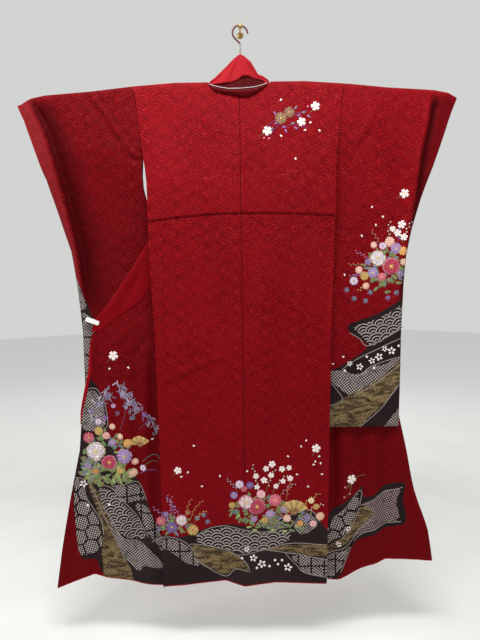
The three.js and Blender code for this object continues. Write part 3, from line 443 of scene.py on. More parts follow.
def silk(name, base=RED, hi=RED_HIGHLIGHT, lo=RED_LO, figured=True, strength=1.0, painted_shade_scale=1.0, low=0.86, seam=False, fold=None, shade=None):
    g = Graph(name)
    # painted shade: the whole colour set is scaled down for the copies of this silk that lie in shadow or turn away
    # from the light (sleeves, fronts, neck band)
    base, hi, lo = [c * painted_shade_scale for c in base], [c * painted_shade_scale for c in hi], [c * painted_shade_scale for c in lo]
    x, y, z = g.place()
    broad = g.noise(1.6, 3)
    tone = g.mix(broad.ramp(0.3, 0.72), [c * 0.88 for c in base], [c * 1.12 for c in base])
    # painted shade: the colour darkens towards the hem, standing in for the fall-off of the light from above
    tone = g.mix(z.ramp(-1750.0, -250.0, 0.0, 1.0, "LINEAR"), [c * low for c in base], tone)
    fine = g.noise(900, 2)
    thread = g.noise(60, 2, at=g.at(x * 0.02, y * 0.02, z * 0.2))
    if figured:
        line = fret(g, x, z)
        fade = g.noise(5.0, 2).ramp(0.30, 0.62) * 0.40 + 0.60
        fade = fade * (g.noise(38.0, 2).ramp(0.32, 0.60) * 0.30 + 0.70) * z.ramp(-1500.0, -900.0, 0.50, 1.0)
        line = line * fade
        c = g.mix(line * (0.86 * strength), tone, lo)
        # painted highlight: satin glints between the figure's lines, weaker towards the bottom
        glint = g.noise(150, 2, at=g.at(x * 0.0010, y * 0.001, z * 0.0035)).ramp(0.50, 0.72)
        c = g.mix((1.0 - line) * glint * 0.42 * strength * z.ramp(-1500.0, -400.0, 0.45, 1.0), c, hi)
        if seam:
            c = g.mix(x.abs().ramp(1.9, 0.7) * 0.75, c, [q * 0.55 for q in lo])
        # painted shade and highlight along a sleeve's fold crest: on the left sleeve, shade inwards of the crest and a
        # lit band outside it; on the right sleeve, a shaded valley and a darker band out to the edge
        if fold:
            side, table = fold
            q = along(z, table) - x * side
            run = z.ramp(-960.0, -780.0) * z.ramp(-206.0, -250.0)
            if side < 0:
                dark = q.ramp(-3.0, 7.0) * (q.ramp(10.0, 120.0, 1.0, 0.0)) * 0.66
                c = g.mix(dark * run, c, [v * 0.30 for v in lo])
                c = g.mix(q.ramp(0.0, -10.0) * 0.30 * run, c, hi)
            else:
                dark = (q + 3.0).abs().ramp(19.0, 3.0) * 0.80
                c = g.mix(dark * run, c, [v * 0.25 for v in lo])
                c = g.mix(q.ramp(-2.0, -14.0) * 0.58 * run, c, lo)
        g.color(c)
        g.bump(line * -0.8 + fine * 0.25 + thread * 0.3, 0.30 * strength, 0.0009)
        g.set(Roughness=line * 0.14 + 0.50)
    else:
        c = g.mix(thread * 0.35, tone, lo)
        # painted shadow: the cloth below the given bent line is darkened nearly to black, for the recess under the
        # drawn-up collar's lip
        if shade:
            c = g.mix((along(x, shade) - z).ramp(-1.0, 4.0) * 0.90, c, [0.030, 0.0004, 0.0012])
        g.color(c)
        g.bump(fine * 0.5 + thread * 0.5, 0.2, 0.0006)
        g.set(Roughness=(fine * 0.1 + 0.5))
    g.bsdf.inputs["Specular IOR Level"].default_value = 0.03
    g.bsdf.inputs["Sheen Weight"].default_value = 0.0
    g.bsdf.inputs["Sheen Roughness"].default_value = 0.4
    g.bsdf.inputs["Sheen Tint"].default_value = (0.9, 0.12, 0.12, 1)
    return g.mat


def dyed(g, ground=DARK):
    g.bsdf.inputs["Specular IOR Level"].default_value = 0.07
    g.bsdf.inputs["Sheen Weight"].default_value = 0.0
    g.bsdf.inputs["Sheen Roughness"].default_value = 0.5
    return g.mat


def turned(x, z, deg):
    c, s = math.cos(math.radians(deg)), math.sin(math.radians(deg))
    return x * c + z * s, x * -s + z * c


def dots(u, v, pitch=7.4):
    """1 on each small square ring of the tie-dye, 0 on the ground and in its middle"""
    U, W = u / pitch, v / pitch
    a = (U.frac() - 0.5).abs()
    b = (W.frac() - 0.5).abs()
    d = a.max(b) * 0.7 + (a + b) * 0.3
    ring = d.ramp(0.40, 0.31)
    hole = d.ramp(0.055, 0.11)
    return ring * (hole * 0.55 + 0.45)


def kanoko(name, deg=45, pitch=7.4, tint=DOT, lines=None):
    g = Graph(name)
    x, y, z = g.place()
    u, v = turned(x, z, deg)
    m = dots(u, v, pitch)
    m = m * (g.noise(55, 1).ramp(0.30, 0.46) * 0.45 + 0.55)
    if lines:
        a, b = turned(x, z, lines[0])
        k = ((a / lines[1]).frac() - 0.5).abs().ramp(0.5 - 3.2 / lines[1], 0.5 - 2.2 / lines[1])
        m = m * (1.0 - k)
        if len(lines) > 2:
            k = ((b / lines[2]).frac() - 0.5).abs().ramp(0.5 - 3.2 / lines[2], 0.5 - 2.2 / lines[2])
            m = m * (1.0 - k)
    g.color(g.mix(m, DARK, tint))
    g.bump(m + g.noise(700, 1) * 0.3, 0.6, 0.0012)
    g.set(Roughness=0.62)
    return dyed(g)


def seigaiha(name, R=31.0, deg=0.0):
    g = Graph(name)
    x, y, z = g.place()
    wob = (g.noise(20, 1) - 0.5) * 5.0
    u, v = turned(x + wob, z + wob, deg)
    v = v + 4000.0
    h = R / 2
    b0 = ((v - R) / h + 0.999).floor() * h
    best = None
    for k in (2, 1, 0):
        b = b0 + k * h
        shift = (b / h).mod(2.0) * R
        du = ((u + shift) / (2 * R)).frac() * (2 * R) - R
        dv = v - b
        d = (du * du + dv * dv).sqrt()
        best = d if best is None else d.lt(R) * d + (1.0 - d.lt(R)) * best
    t = (best / (R / 3.0)).frac()
    arc = (t - 0.60).abs().ramp(0.22, 0.13)
    grain = dots(u, v, 3.4)
    m = arc * (grain * 0.35 + 0.65)
    g.color(g.mix(m, DARK, DOT))
    g.bump(m, 0.5, 0.001)
    g.set(Roughness=0.6)
    return dyed(g)


def kikko(name, size=52.0, deg=20.0):
    g = Graph(name)
    x, y, z = g.place()
    u, v = turned(x, z, deg)
    u, v = u / size, v / size
    s = 1.7320508

    def cell(a, b):
        A = a.frac() - 0.5
        B = (b / s).frac() * s - s / 2
        return A, B

    a0, b0 = cell(u, v)
    a1, b1 = cell(u - 0.5, v - s / 2)
    near = (a0 * a0 + b0 * b0).lt(a1 * a1 + b1 * b1)
    A = (near * a0 + (1.0 - near) * a1).abs()
    B = (near * b0 + (1.0 - near) * b1).abs()
    d = (A * 0.5 + B * 0.8660254).max(A)
    edge = d.ramp(0.455, 0.43)
    p, q = turned(x, z, deg + 52)
    m = dots(p, q, 7.4) * edge
    g.color(g.mix(m, DARK, DOT))
    g.bump(m, 0.6, 0.0012)
    g.set(Roughness=0.62)
    return dyed(g)


def gold(name):
    g = Graph(name)
    x, y, z = g.place()
    flow = g.noise(18, 4, 0.6)
    swirl = g.noise(30, 3, 0.6, at=g.at(x * 0.001 + flow * 0.05, y * 0.001, z * 0.0035 + flow * 0.08))
    speck = g.noise(420, 2, 0.7)
    dust = speck.ramp(0.50, 0.62) * (swirl.ramp(0.36, 0.62) * 0.75 + 0.25)
    ground = g.mix(swirl.ramp(0.42, 0.58), (0.026, 0.015, 0.008), (0.105, 0.066, 0.028))
    g.color(g.mix(dust, ground, (0.42, 0.30, 0.15)))
    g.set(Metallic=dust * 0.35, Roughness=0.46)
    g.bump(dust + speck * 0.3, 0.5, 0.0006)
    return dyed(g)


def plain_dark(name):
    g = Graph(name)
    n = g.noise(500, 2)
    b = g.noise(4, 2)
    g.color(g.mix(b.ramp(0.3, 0.7), (0.012, 0.0062, 0.0068), (0.022, 0.0115, 0.0125)))
    g.set(Roughness=n * 0.12 + 0.5)
    g.bump(n, 0.15, 0.0005)
    return dyed(g)


def painted(name):
    """embroidered and dyed motifs: colour from the mesh, with fine noise as bump"""
    g = Graph(name)
    x, y, z = g.place()
    a = g.nt.nodes.new("ShaderNodeVertexColor")
    a.layer_name = "dye"
    n = g.noise(260, 3, 0.7)
    m = g.nt.nodes.new("ShaderNodeMix")
    m.data_type = "RGBA"
    m.blend_type = "MULTIPLY"
    m.inputs[0].default_value = 1.0
    g.nt.links.new(a.outputs[0], m.inputs[6])
    g.nt.links.new(g.mix(n.ramp(0.25, 0.75), (0.80, 0.80, 0.80), (1.0, 1.0, 1.0)), m.inputs[7])
    g.color(m.outputs[2])
    g.bump(n + g.noise(1400, 1) * 0.4, 0.35, 0.0006)
    g.set(Roughness=n * 0.15 + 0.42)
    g.bsdf.inputs["Specular IOR Level"].default_value = 0.35
    g.bsdf.inputs["Sheen Weight"].default_value = 0.1
    return g.mat


def metal(name, base, rough, worn, metallic=1.0, coat=0.0):
    g = Graph(name)
    n = g.noise(45, 4, 0.65)
    f = g.noise(380, 2, 0.6)
    g.color(g.mix(n.ramp(0.40, 0.68), base, worn))
    g.set(Roughness=f * 0.14 + n * 0.10 + rough)
    g.bsdf.inputs["Metallic"].default_value = metallic
    g.bsdf.inputs["Coat Weight"].default_value = coat
    g.bsdf.inputs["Coat Roughness"].default_value = 0.15
    g.bump(f * 0.6 + n * 0.4, 0.12, 0.0004)
    return g.mat


M_SILK = silk("silk_figured", seam=True)
M_PLAIN = silk("silk_plain", base=(0.185, 0.0018, 0.005), figured=False)
M_LINING = silk("silk_lining", base=(0.30, 0.004, 0.010), figured=False)
# lit and shaded copies of the figured silk: the sleeves and fronts are darkened overall and towards the hem as painted
# shade, and the sleeves carry painted shade and a painted highlight along their folds
M_SL = silk("silk_sleeve_left", painted_shade_scale=0.74, low=0.50, fold=(-1.0, FOLD_L))
M_SR = silk("silk_sleeve_right", painted_shade_scale=0.98, low=0.80, fold=(1.0, FOLD_R))
M_FR = silk("silk_front", painted_shade_scale=0.72, low=0.84)
M_DARK = plain_dark("dyed_dark")
M_KAN_A = kanoko("kanoko_steep", 38)
M_KAN_B = kanoko("kanoko_cross", 52, 7.6, lines=(0, 44, 60))
M_KAN_C = kanoko("kanoko_pink", 28, 7.0, tint=(0.36, 0.255, 0.25))
M_KIKKO = kikko("kikko")
M_SEIG = seigaiha("seigaiha")
M_SEIG2 = seigaiha("seigaiha_leaning", 30.0, 24.0)
M_GOLD = gold("gold_dust")
M_PAINT = painted("motif_dye")
SILK_SET = [M_SILK, M_DARK, M_KAN_A, M_KAN_B, M_KAN_C, M_KIKKO, M_SEIG, M_SEIG2, M_GOLD, M_LINING, M_PLAIN, M_SL, M_SR, M_FR]
SLOT = {m.name: i for i, m in enumerate(SILK_SET)}


# =====================================================================================
# mesh building
# =====================================================================================
def new_object(name, verts, faces, mats, index=None, smooth_faces=True, sharp=None, replaces=()):
    me = bpy.data.meshes.new(name)
    me.from_pydata([tuple(v) for v in np.asarray(verts) * MM], [], [tuple(f) for f in faces])
    for m in mats:
        me.materials.append(m)
    if index is not None:
        me.polygons.foreach_set("material_index", np.asarray(index, np.int32))
    me.polygons.foreach_set("use_smooth", np.full(len(me.polygons), smooth_faces, bool))
    if sharp is not None and len(sharp):
        want = {tuple(sorted(e)) for e in sharp}
        flags = np.array([tuple(sorted(e.vertices)) in want for e in me.edges], bool)
        attr = me.attributes.get("sharp_edge") or me.attributes.new("sharp_edge", "BOOLEAN", "EDGE")
        attr.data.foreach_set("value", flags)
    me.update()
    ob = bpy.data.objects.new(name, me)
    SCENE.collection.objects.link(ob)
    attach(ob, "root")
    if replaces:
        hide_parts(*replaces)
    return ob


def inside(poly, x, z):
    poly = np.asarray(poly, float)
    x0, z0 = poly[:, 0], poly[:, 1]
    x1, z1 = np.roll(x0, -1), np.roll(z0, -1)
    hit = np.zeros(len(x), bool)
    for a, b, c, d in zip(x0, z0, x1, z1):
        if b == d:
            continue
        span = (b > z) != (d > z)
        hit ^= span & (x < (c - a) * (z - b) / (d - b) + a)
    return hit


def edge_distance(poly, x, z):
    poly = np.asarray(poly, float)
    best = np.full(len(x), 1e9)
    for (a, b), (c, d) in zip(poly, np.roll(poly, -1, axis=0)):
        dx, dz = c - a, d - b
        L = dx * dx + dz * dz
        if L == 0:
            continue
        t = np.clip(((x - a) * dx + (z - b) * dz) / L, 0, 1)
        best = np.minimum(best, np.hypot(x - a - t * dx, z - b - t * dz))
    return best


def chaikin(poly, times=2, keep=()):
    pts = [tuple(p) for p in poly]
    for _ in range(times):
        out = []
        for i, p in enumerate(pts):
            q = pts[(i + 1) % len(pts)]
            out.append((0.78 * p[0] + 0.22 * q[0], 0.78 * p[1] + 0.22 * q[1]))
            out.append((0.22 * p[0] + 0.78 * q[0], 0.22 * p[1] + 0.78 * q[1]))
        pts = out
    return pts


def resample(poly, step):
    out = []
    n = len(poly)
    for i in range(n):
        a, b = poly[i], poly[(i + 1) % n]
        d = math.hypot(b[0] - a[0], b[1] - a[1])
        k = max(1, int(d / step))
        for j in range(k):
            out.append((a[0] + (b[0] - a[0]) * j / k, a[1] + (b[1] - a[1]) * j / k))
    return out


def panel(name, outline, yfun, zones, replaces=(), step=7.0, extra=(), base="silk_figured", back="silk_lining", way=1, thick=CLOTH, fine=None):
    """one closed thin shell over `outline` in x-z, its face at y = yfun(x, z), cut along every zone's border.
    way = 1: the shell grows away from the viewer. zones: (polygon, material name), later ones on top"""
    outline = resample(outline, step)
    loops = [outline] + [resample(p, step * 0.8) for p, _ in zones]
    xs, zs = [p[0] for p in outline], [p[1] for p in outline]
    gx, gz = np.arange(min(xs), max(xs), step), np.arange(min(zs), max(zs), step)
    X, Z = np.meshgrid(gx, gz)
    X = X + (np.arange(len(gz)) % 2)[:, None] * step / 2
    X, Z = X.ravel(), Z.ravel()
    if fine is not None:      # a strip of closer rows
        fx, fz = np.meshgrid(gx, fine)
        fz = fz - bow(fx)
        X, Z = np.concatenate([X, fx.ravel()]), np.concatenate([Z, fz.ravel()])
    ok = inside(outline, X, Z) & (edge_distance(outline, X, Z) > step * 0.45)
    X, Z = X[ok], Z[ok]
    clear = np.ones(len(X), bool)
    for lp in loops[1:]:
        clear &= edge_distance(lp, X, Z) > step * 0.4
    X, Z = X[clear], Z[clear]
    verts, edges = [], []
    for lp in loops:
        o = len(verts)
        verts += [Vector(p) for p in lp]
        edges += [(o + i, o + (i + 1) % len(lp)) for i in range(len(lp))]
    verts += [Vector((a, b)) for a, b in zip(X, Z)]
    out_v, _, faces, *_ = delaunay_2d_cdt(verts, edges, [], 0, 1e-4)
    P = np.array([(v[0], v[1]) for v in out_v])
    F = np.array([f for f in faces if len(f) == 3], int)
    c = P[F].mean(1)
    F = F[inside(outline, c[:, 0], c[:, 1])]
    c = P[F].mean(1)
    area = np.abs(np.cross(P[F[:, 1]] - P[F[:, 0]], P[F[:, 2]] - P[F[:, 0]]))
    F, c = F[area > 1e-3], c[area > 1e-3]
    used = np.unique(F)
    remap = -np.ones(len(P), int)
    remap[used] = np.arange(len(used))
    P, F = P[used], remap[F]
    mat = np.full(len(F), SLOT[base])
    for poly, m in zones:
        mat[inside(poly, c[:, 0], c[:, 1])] = SLOT[m]
    y = np.asarray(yfun(P[:, 0], P[:, 1]), float)
    e = 0.8
    gxv = (yfun(P[:, 0] + e, P[:, 1]) - yfun(P[:, 0] - e, P[:, 1])) / (2 * e)
    gzv = (yfun(P[:, 0], P[:, 1] + e) - yfun(P[:, 0], P[:, 1] - e)) / (2 * e)
    gxv, gzv = np.clip(gxv, -1.2, 1.2), np.clip(gzv, -1.2, 1.2)
    N = np.stack([-gxv, np.ones_like(gxv), -gzv], 1)
    N /= np.linalg.norm(N, axis=1)[:, None]
    top = np.stack([P[:, 0], y, P[:, 1]], 1)
    low = top + N * thick * way
    n = len(P)
    # turn the faces so that the outer side looks at the viewer when way is 1
    a, b, d = P[F[:, 0]], P[F[:, 1]], P[F[:, 2]]
    ccw = np.cross(b - a, d - a) > 0            # seen from -y, x right and z up
    flip = ~ccw if way == 1 else ccw
    F[flip] = F[flip][:, ::-1]
    count = {}
    for t in F:
        for i in range(3):
            k = (t[i], t[(i + 1) % 3])
            count[k] = True
    rim = [(p, q) for (p, q) in count if (q, p) not in count]
    faces = [tuple(t) for t in F] + [tuple(t[::-1] + n) for t in F]
    index = list(mat) + [SLOT[back]] * len(F)
    border = []
    for p, q in rim:
        faces.append((q, p, p + n, q + n))
        index.append(SLOT[back])
        border += [(p, q), (p + n, q + n)]
    ob = new_object(name, np.concatenate([top, low]), faces, SILK_SET, index, True, border, replaces)
    return ob


def grid_wall(name, us, vs, at, thick, way, mats, replaces=(), index=0):
    nu, nv = len(us), len(vs)
    P = np.array([[at(u, v) for u in us] for v in vs], float)
    du = np.gradient(P, axis=1)
    dv = np.gradient(P, axis=0)
    N = np.cross(du, dv)
    N /= np.maximum(np.linalg.norm(N, axis=2), 1e-9)[:, :, None]
    Q = P + N * thick * way
    V_ = np.concatenate([P.reshape(-1, 3), Q.reshape(-1, 3)])
    o = nu * nv
    faces = []
    sharp = []
    for j in range(nv - 1):
        for i in range(nu - 1):
            a = j * nu + i
            faces.append((a, a + 1, a + nu + 1, a + nu))
            faces.append((o + a, o + a + nu, o + a + nu + 1, o + a + 1))
    def rim(a, b):
        faces.append((b, a, o + a, o + b))
        sharp.extend([(a, b), (o + a, o + b)])
    for i in range(nu - 1):
        rim(i, i + 1)
        c = (nv - 1) * nu + i
        rim(c + 1, c)
    for j in range(nv - 1):
        a = j * nu
        rim(a + nu, a)
        c = a + nu - 1
        rim(c, c + nu)
    if way > 0:
        pass
    ob = new_object(name, V_, faces, mats, np.full(len(faces), index), True, sharp, replaces)
    fix_normals(ob)
    return ob


def fix_normals(ob):
    import bmesh
    bm = bmesh.new()
    bm.from_mesh(ob.data)
    bmesh.ops.recalc_face_normals(bm, faces=bm.faces)
    bm.to_mesh(ob.data)
    bm.free()


def px(*pts, y=-84.0):
    return [spot(a, b, y) for a, b in pts]


# =====================================================================================
# dyed zones, laid out in the places that the garment carries them
# =====================================================================================
def zone(mat, pts, y, soft=2):
    return (chaikin([spot(a, b, y) for a, b in pts], soft), mat)


YB = -85.0
Z_BACK = [
    zone("dyed_dark", [(150, 541), (163, 534), (176, 537), (190, 535), (203, 529), (215, 525), (232, 524), (247, 526), (262, 528), (276, 521),
                       (290, 515), (303, 509), (313, 511), (320, 520), (327, 531), (345, 528), (345, 610), (150, 610)], YB),
    zone("kanoko_cross", [(150, 541), (164, 538), (180, 540), (189, 547), (197, 558), (200, 567), (188, 564), (174, 553), (150, 543)], YB),
    zone("seigaiha", [(197, 534), (210, 529), (226, 527), (245, 531), (262, 533), (276, 530), (288, 528), (291, 535), (287, 542), (270, 547), (247, 554),
                      (236, 552), (222, 548), (206, 545), (196, 542)], YB),
    zone("gold_dust", [(190, 545), (205, 546), (222, 550), (236, 554), (247, 564), (249, 571), (234, 568), (227, 575), (216, 571), (203, 566), (194, 558)], YB),
    zone("gold_dust", [(262, 549), (282, 545), (300, 544), (317, 545), (345, 543), (345, 558), (318, 556), (300, 553), (283, 551)], YB),
    zone("kanoko_cross", [(290, 555), (305, 555), (318, 558), (345, 559), (345, 577), (312, 576), (302, 571), (297, 563)], YB),
    zone("kanoko_steep", [(293, 521), (304, 512), (313, 514), (319, 523), (312, 530), (301, 535), (295, 529)], YB),
    zone("kanoko_steep", [(262, 521), (277, 519), (288, 525), (276, 529), (262, 528), (254, 524)], YB),
]
YL = -54.0
Z_LEFT = [
    zone("dyed_dark", [(80, 372), (92, 380), (99, 391), (107, 409), (108, 427), (112, 450), (124, 470), (137, 478), (147, 499), (152, 516), (166, 548),
                       (190, 552), (190, 610), (130, 610), (106, 576), (100, 567), (97, 556), (80, 560), (75, 522), (73, 498), (73, 482), (77, 465), (80, 440), (78, 400)], YL),
    zone("kanoko_steep", [(84, 392), (95, 390), (103, 404), (106, 426), (96, 432), (80, 430), (80, 404)], YL),
    zone("kanoko_cross", [(112, 487), (124, 485), (138, 484), (146, 500), (137, 502), (124, 502), (113, 493)], YL),
    zone("kanoko_cross", [(133, 504), (148, 505), (155, 522), (166, 545), (166, 556), (150, 535), (141, 519)], YL),
    zone("seigaiha_leaning", [(97, 487), (110, 490), (121, 499), (132, 512), (147, 534), (142, 540), (128, 538), (116, 527), (107, 516), (102, 505)], YL),
    zone("kanoko_steep", [(107, 517), (114, 524), (126, 540), (141, 543), (151, 550), (166, 566), (160, 568), (151, 566), (144, 565), (139, 572), (128, 562), (121, 546), (113, 533)], YL),
    zone("gold_dust", [(87, 478), (93, 483), (101, 500), (107, 515), (113, 532), (121, 547), (125, 557), (134, 576), (134, 600), (107, 600), (103, 560), (102, 551), (104, 534), (97, 507), (90, 490)], YL),
    zone("kikko", [(75, 478), (82, 480), (85, 496), (92, 508), (99, 520), (103, 533), (102, 549), (94, 552), (80, 556), (77, 540), (75, 520), (74, 500)], YL, 1),
]
YS = -60.0
Z_SLEEVE_R = [
    zone("dyed_dark", [(425, 290), (402, 299), (388, 308), (373, 316), (358, 321), (347, 325), (350, 333), (361, 339), (367, 344), (367, 350), (350, 361), (331, 371),
                       (310, 380), (310, 440), (425, 440)], YS),
    zone("seigaiha_leaning", [(352, 327), (372, 321), (388, 314), (405, 303), (420, 300), (420, 318), (403, 327), (387, 338), (372, 347), (366, 341), (360, 334)], YS, 1),
    zone("kanoko_steep", [(342, 370), (353, 375), (363, 373), (371, 365), (382, 366), (400, 357), (415, 350), (400, 366), (385, 375), (368, 387), (354, 396), (348, 395), (331, 382), (322, 372)], YS, 1),
    zone("gold_dust", [(310, 415), (330, 405), (343, 399), (364, 388), (385, 375), (400, 360), (420, 345), (420, 370), (400, 383), (389, 399), (378, 410), (366, 420), (358, 440), (310, 440)], YS),
    zone("kanoko_steep", [(420, 398), (400, 407), (392, 417), (384, 428), (384, 440), (420, 440)], YS, 1),
]
YR = -44.0
Z_RIGHT = [
    zone("dyed_dark", [(300, 540), (322, 522), (332, 511), (345, 501), (357, 494), (364, 484), (362, 498), (374, 494), (385, 486), (396, 482), (407, 483), (402, 498),
                       (407, 520), (399, 524), (380, 528), (366, 536), (353, 544), (344, 557), (342, 571), (330, 584), (300, 600)], YR, 1),
    zone("kikko", [(300, 545), (326, 530), (333, 519), (345, 509), (361, 491), (359, 506), (354, 521), (340, 536), (326, 543), (300, 556)], YR, 1),
    zone("kanoko_pink", [(361, 506), (372, 499), (386, 492), (402, 487), (395, 500), (400, 519), (380, 523), (366, 530), (353, 539), (350, 531), (369, 518), (371, 509)], YR, 1),
    zone("gold_dust", [(360, 507), (372, 507), (369, 517), (358, 530), (348, 540), (336, 548), (326, 552), (300, 560), (300, 552), (326, 546), (340, 538), (352, 523)], YR),
    zone("kanoko_cross", [(300, 562), (328, 554), (340, 550), (349, 545), (344, 556), (339, 569), (328, 578), (300, 588)], YR, 1),
]
YT = -38.0
Z_SLEEVE_L = [
    zone("dyed_dark", [(60, 262), (73, 272), (78, 281), (83, 292), (91, 315), (97, 330), (150, 330), (150, 470), (60, 470)], YT, 1),
    zone("kanoko_steep", [(64, 272), (76, 276), (83, 294), (88, 310), (70, 310), (62, 290)], YT),
    zone("kanoko_cross", [(66, 314), (89, 312), (96, 334), (96, 360), (88, 384), (66, 384)], YT),
    zone("seigaiha", [(95, 340), (150, 340), (150, 420), (95, 420)], YT),
]
# the hidden front sleeve faces carry the same dye, turned over
mirror = lambda zs, dx=0.0: [([(x + dx, z) for x, z in p], m) for p, m in zs]


# =====================================================================================
# the panels
# =====================================================================================
def line(xfun, zs):
    return [(float(xfun(z)), float(z)) for z in zs]


def back_outline(side):
    table = SIDE_L if side < 0 else SIDE_R
    zr = np.array([-171, -176, -186, -200, -220, -250, -300, -340, -385, -405, -425, -447, -470, -500, -526, -566, -574] + list(np.arange(-620, -1800, -40.0)) + [-1812.0])
    edge = [(side * (float(tab(table, q)) - 0.15), q) for q in zr]
    pts = [(x, q + float(back_off(np.array(x), np.array(q)))) for x, q in edge]
    hem = [(side * X, -1812.0 + float(back_off(np.array(side * X), np.array(-1812.0)))) for X in np.linspace(272, 0.15, 40)]
    low_z = -1812.0 + float(back_off(np.array(0.0), np.array(-1812.0)))
    cx = 0.0 if side > 0 else 3.0
    mid = [(cx, z) for z in np.linspace(low_z + 6, -218, 80)]
    top = [(side * X, -171.0 + float(back_off(np.array(side * X), np.array(-171.0)))) for X in list(np.linspace(0.15, 110, 40)) + list(np.linspace(118, 300, 12))]
    return pts + hem + mid + top


FINE_TOP = np.array([-173.0, -175.5, -178.5, -182, -186, -191])
for side, nm in ((-1, "left"), (1, "right")):
    fine = np.array([-563.0, -566, -568.5, -570.5, -572, -573.5, -575.5, -578.5, -583])
    # the left width's seam edge is turned under the right one
    yf = back_y if side > 0 else (lambda x, z: back_y(x, z) + 1.25 * smooth((x + 0.9) / 1.2))
    ob = panel("back_" + nm + "_cloth", back_outline(side), yf, Z_BACK, ["back_" + nm], step=6.5, fine=fine)
    "hanger_arm_" + nm


def flap_line(side, z, which):
    rows = FRONT_L if side < 0 else FRONT_R
    zz = np.array(float(z))
    e = float(col(rows, zz, "e"))
    if which == "e":
        return e
    if which == "ok":
        return e - float(col(rows, zz, "okumi"))
    if which == "co":
        return e - float(col(rows, zz, "collar"))
    oy, iy, f = (float(col(rows, zz, c)) for c in ("outY", "inY", "f"))
    return f + min(abs(oy - iy) / 2, max((e - f) / 2, 0.01))


def real(side, X, zr):
    hem = HEM_LEFT if side < 0 else HEM_RIGHT
    return (side * X, zr + float(flap_off(hem)(np.array(float(X)), np.array(float(zr)))))


for side, nm, zones in ((-1, "left", Z_LEFT), (1, "right", Z_RIGHT)):
    yf = (lambda s: (lambda x, z: flap_y(s, x, z)))(side)
    rz = lambda a, b, n: list(np.linspace(a, b, n))
    hemrow = lambda a, b, n: [real(side, X, -1812.0) for X in np.linspace(a, b, n)]
    # front width, from the fold to the overlap's seam
    zr = rz(-640, -1812, 60)
    rows = FRONT_L if side < 0 else FRONT_R

    def under(which, rows=rows, s=side, f=yf):
        return lambda x, z: f(x, z) + 1.3 * smooth((s * x - (col(rows, z, "e") - col(rows, z, which)) + 0.9) / 1.2)
    out = [real(side, flap_line(side, q, "ok") + 3, q) for q in zr]
    inn = [real(side, flap_line(side, q, "fold"), q) for q in reversed(zr)]
    ob = panel("front_" + nm + "_flap_cloth", out + hemrow(flap_line(side, -1812, "ok") + 3, flap_line(side, -1812, "fold"), 12)[1:-1] + inn, under("okumi"), zones, ["front_" + nm + "_flap"], step=7.0, base="silk_front")
    "hanger_arm_" + nm
    # overlap panel
    zr = rz(-600, -1812, 60)
    outer = [real(side, flap_line(side, q, "e") if q < COLLAR_END_Z - 1 else flap_line(side, q, "co") + 3, q) for q in zr]
    inner = [real(side, flap_line(side, q, "ok"), q) for q in reversed(zr)]
    tucked = under("collar")
    okf = lambda x, z, t=tucked, f=yf: np.where(z > COLLAR_END_Z + 8, t(x, z), f(x, z))
    ob = panel("okumi_" + nm + "_cloth", outer + hemrow(flap_line(side, -1812, "e"), flap_line(side, -1812, "ok"), 12)[1:-1] + inner, okf, zones, ["okumi_" + nm], step=6.5, base="silk_front")
    "hanger_arm_" + nm
    # collar run, plain and smooth, standing a little proud with a rounded edge
    zr = rz(-600, COLLAR_END_Z, 36)
    outer = [real(side, flap_line(side, q, "e"), q) for q in zr]
    inner = [real(side, flap_line(side, q, "co") + 0.15, q) for q in reversed(zr)]
    def collar_face(s):
        rows = FRONT_L if s < 0 else FRONT_R
        def f(x, z):
            e = col(rows, z, "e")
            w = np.maximum(col(rows, z, "collar"), 8)
            t = np.clip((e - s * x) / w, 0, 1)
            return flap_y(s, x, z) - 2.2 * np.sqrt(np.clip(1 - (2 * t - 1) ** 8, 0, 1)) - 0.3
        return f
    ob = panel("collar_" + nm + "_run", outer + inner, collar_face(side), [], ["collar_" + nm], step=6.0, base="silk_plain")
    "hanger_arm_" + nm


def front_outline(rows, z):
    s, f, e, sy, iy, oy = (float(col(rows, np.array(float(z)), c)) for c in ("s", "f", "e", "seamY", "inY", "outY"))
    r = min(abs(oy - iy) / 2, max((e - f) / 2, 0.01))
    pts = [(s, sy), (s - 0.8, sy + (iy - sy) * 0.4), (s - 3, sy + (iy - sy) * 0.8), (s - 9, iy), ((s - 9 + f + r) / 2, iy)]
    mid = (oy + iy) / 2
    for k in range(13):
        a = math.pi * k / 12
        pts.append((f + r - r * math.sin(a), mid - ((oy - iy) / 2) * math.cos(a)))
    pts.append((max(e, f + r + 0.01), oy))
    return pts, r


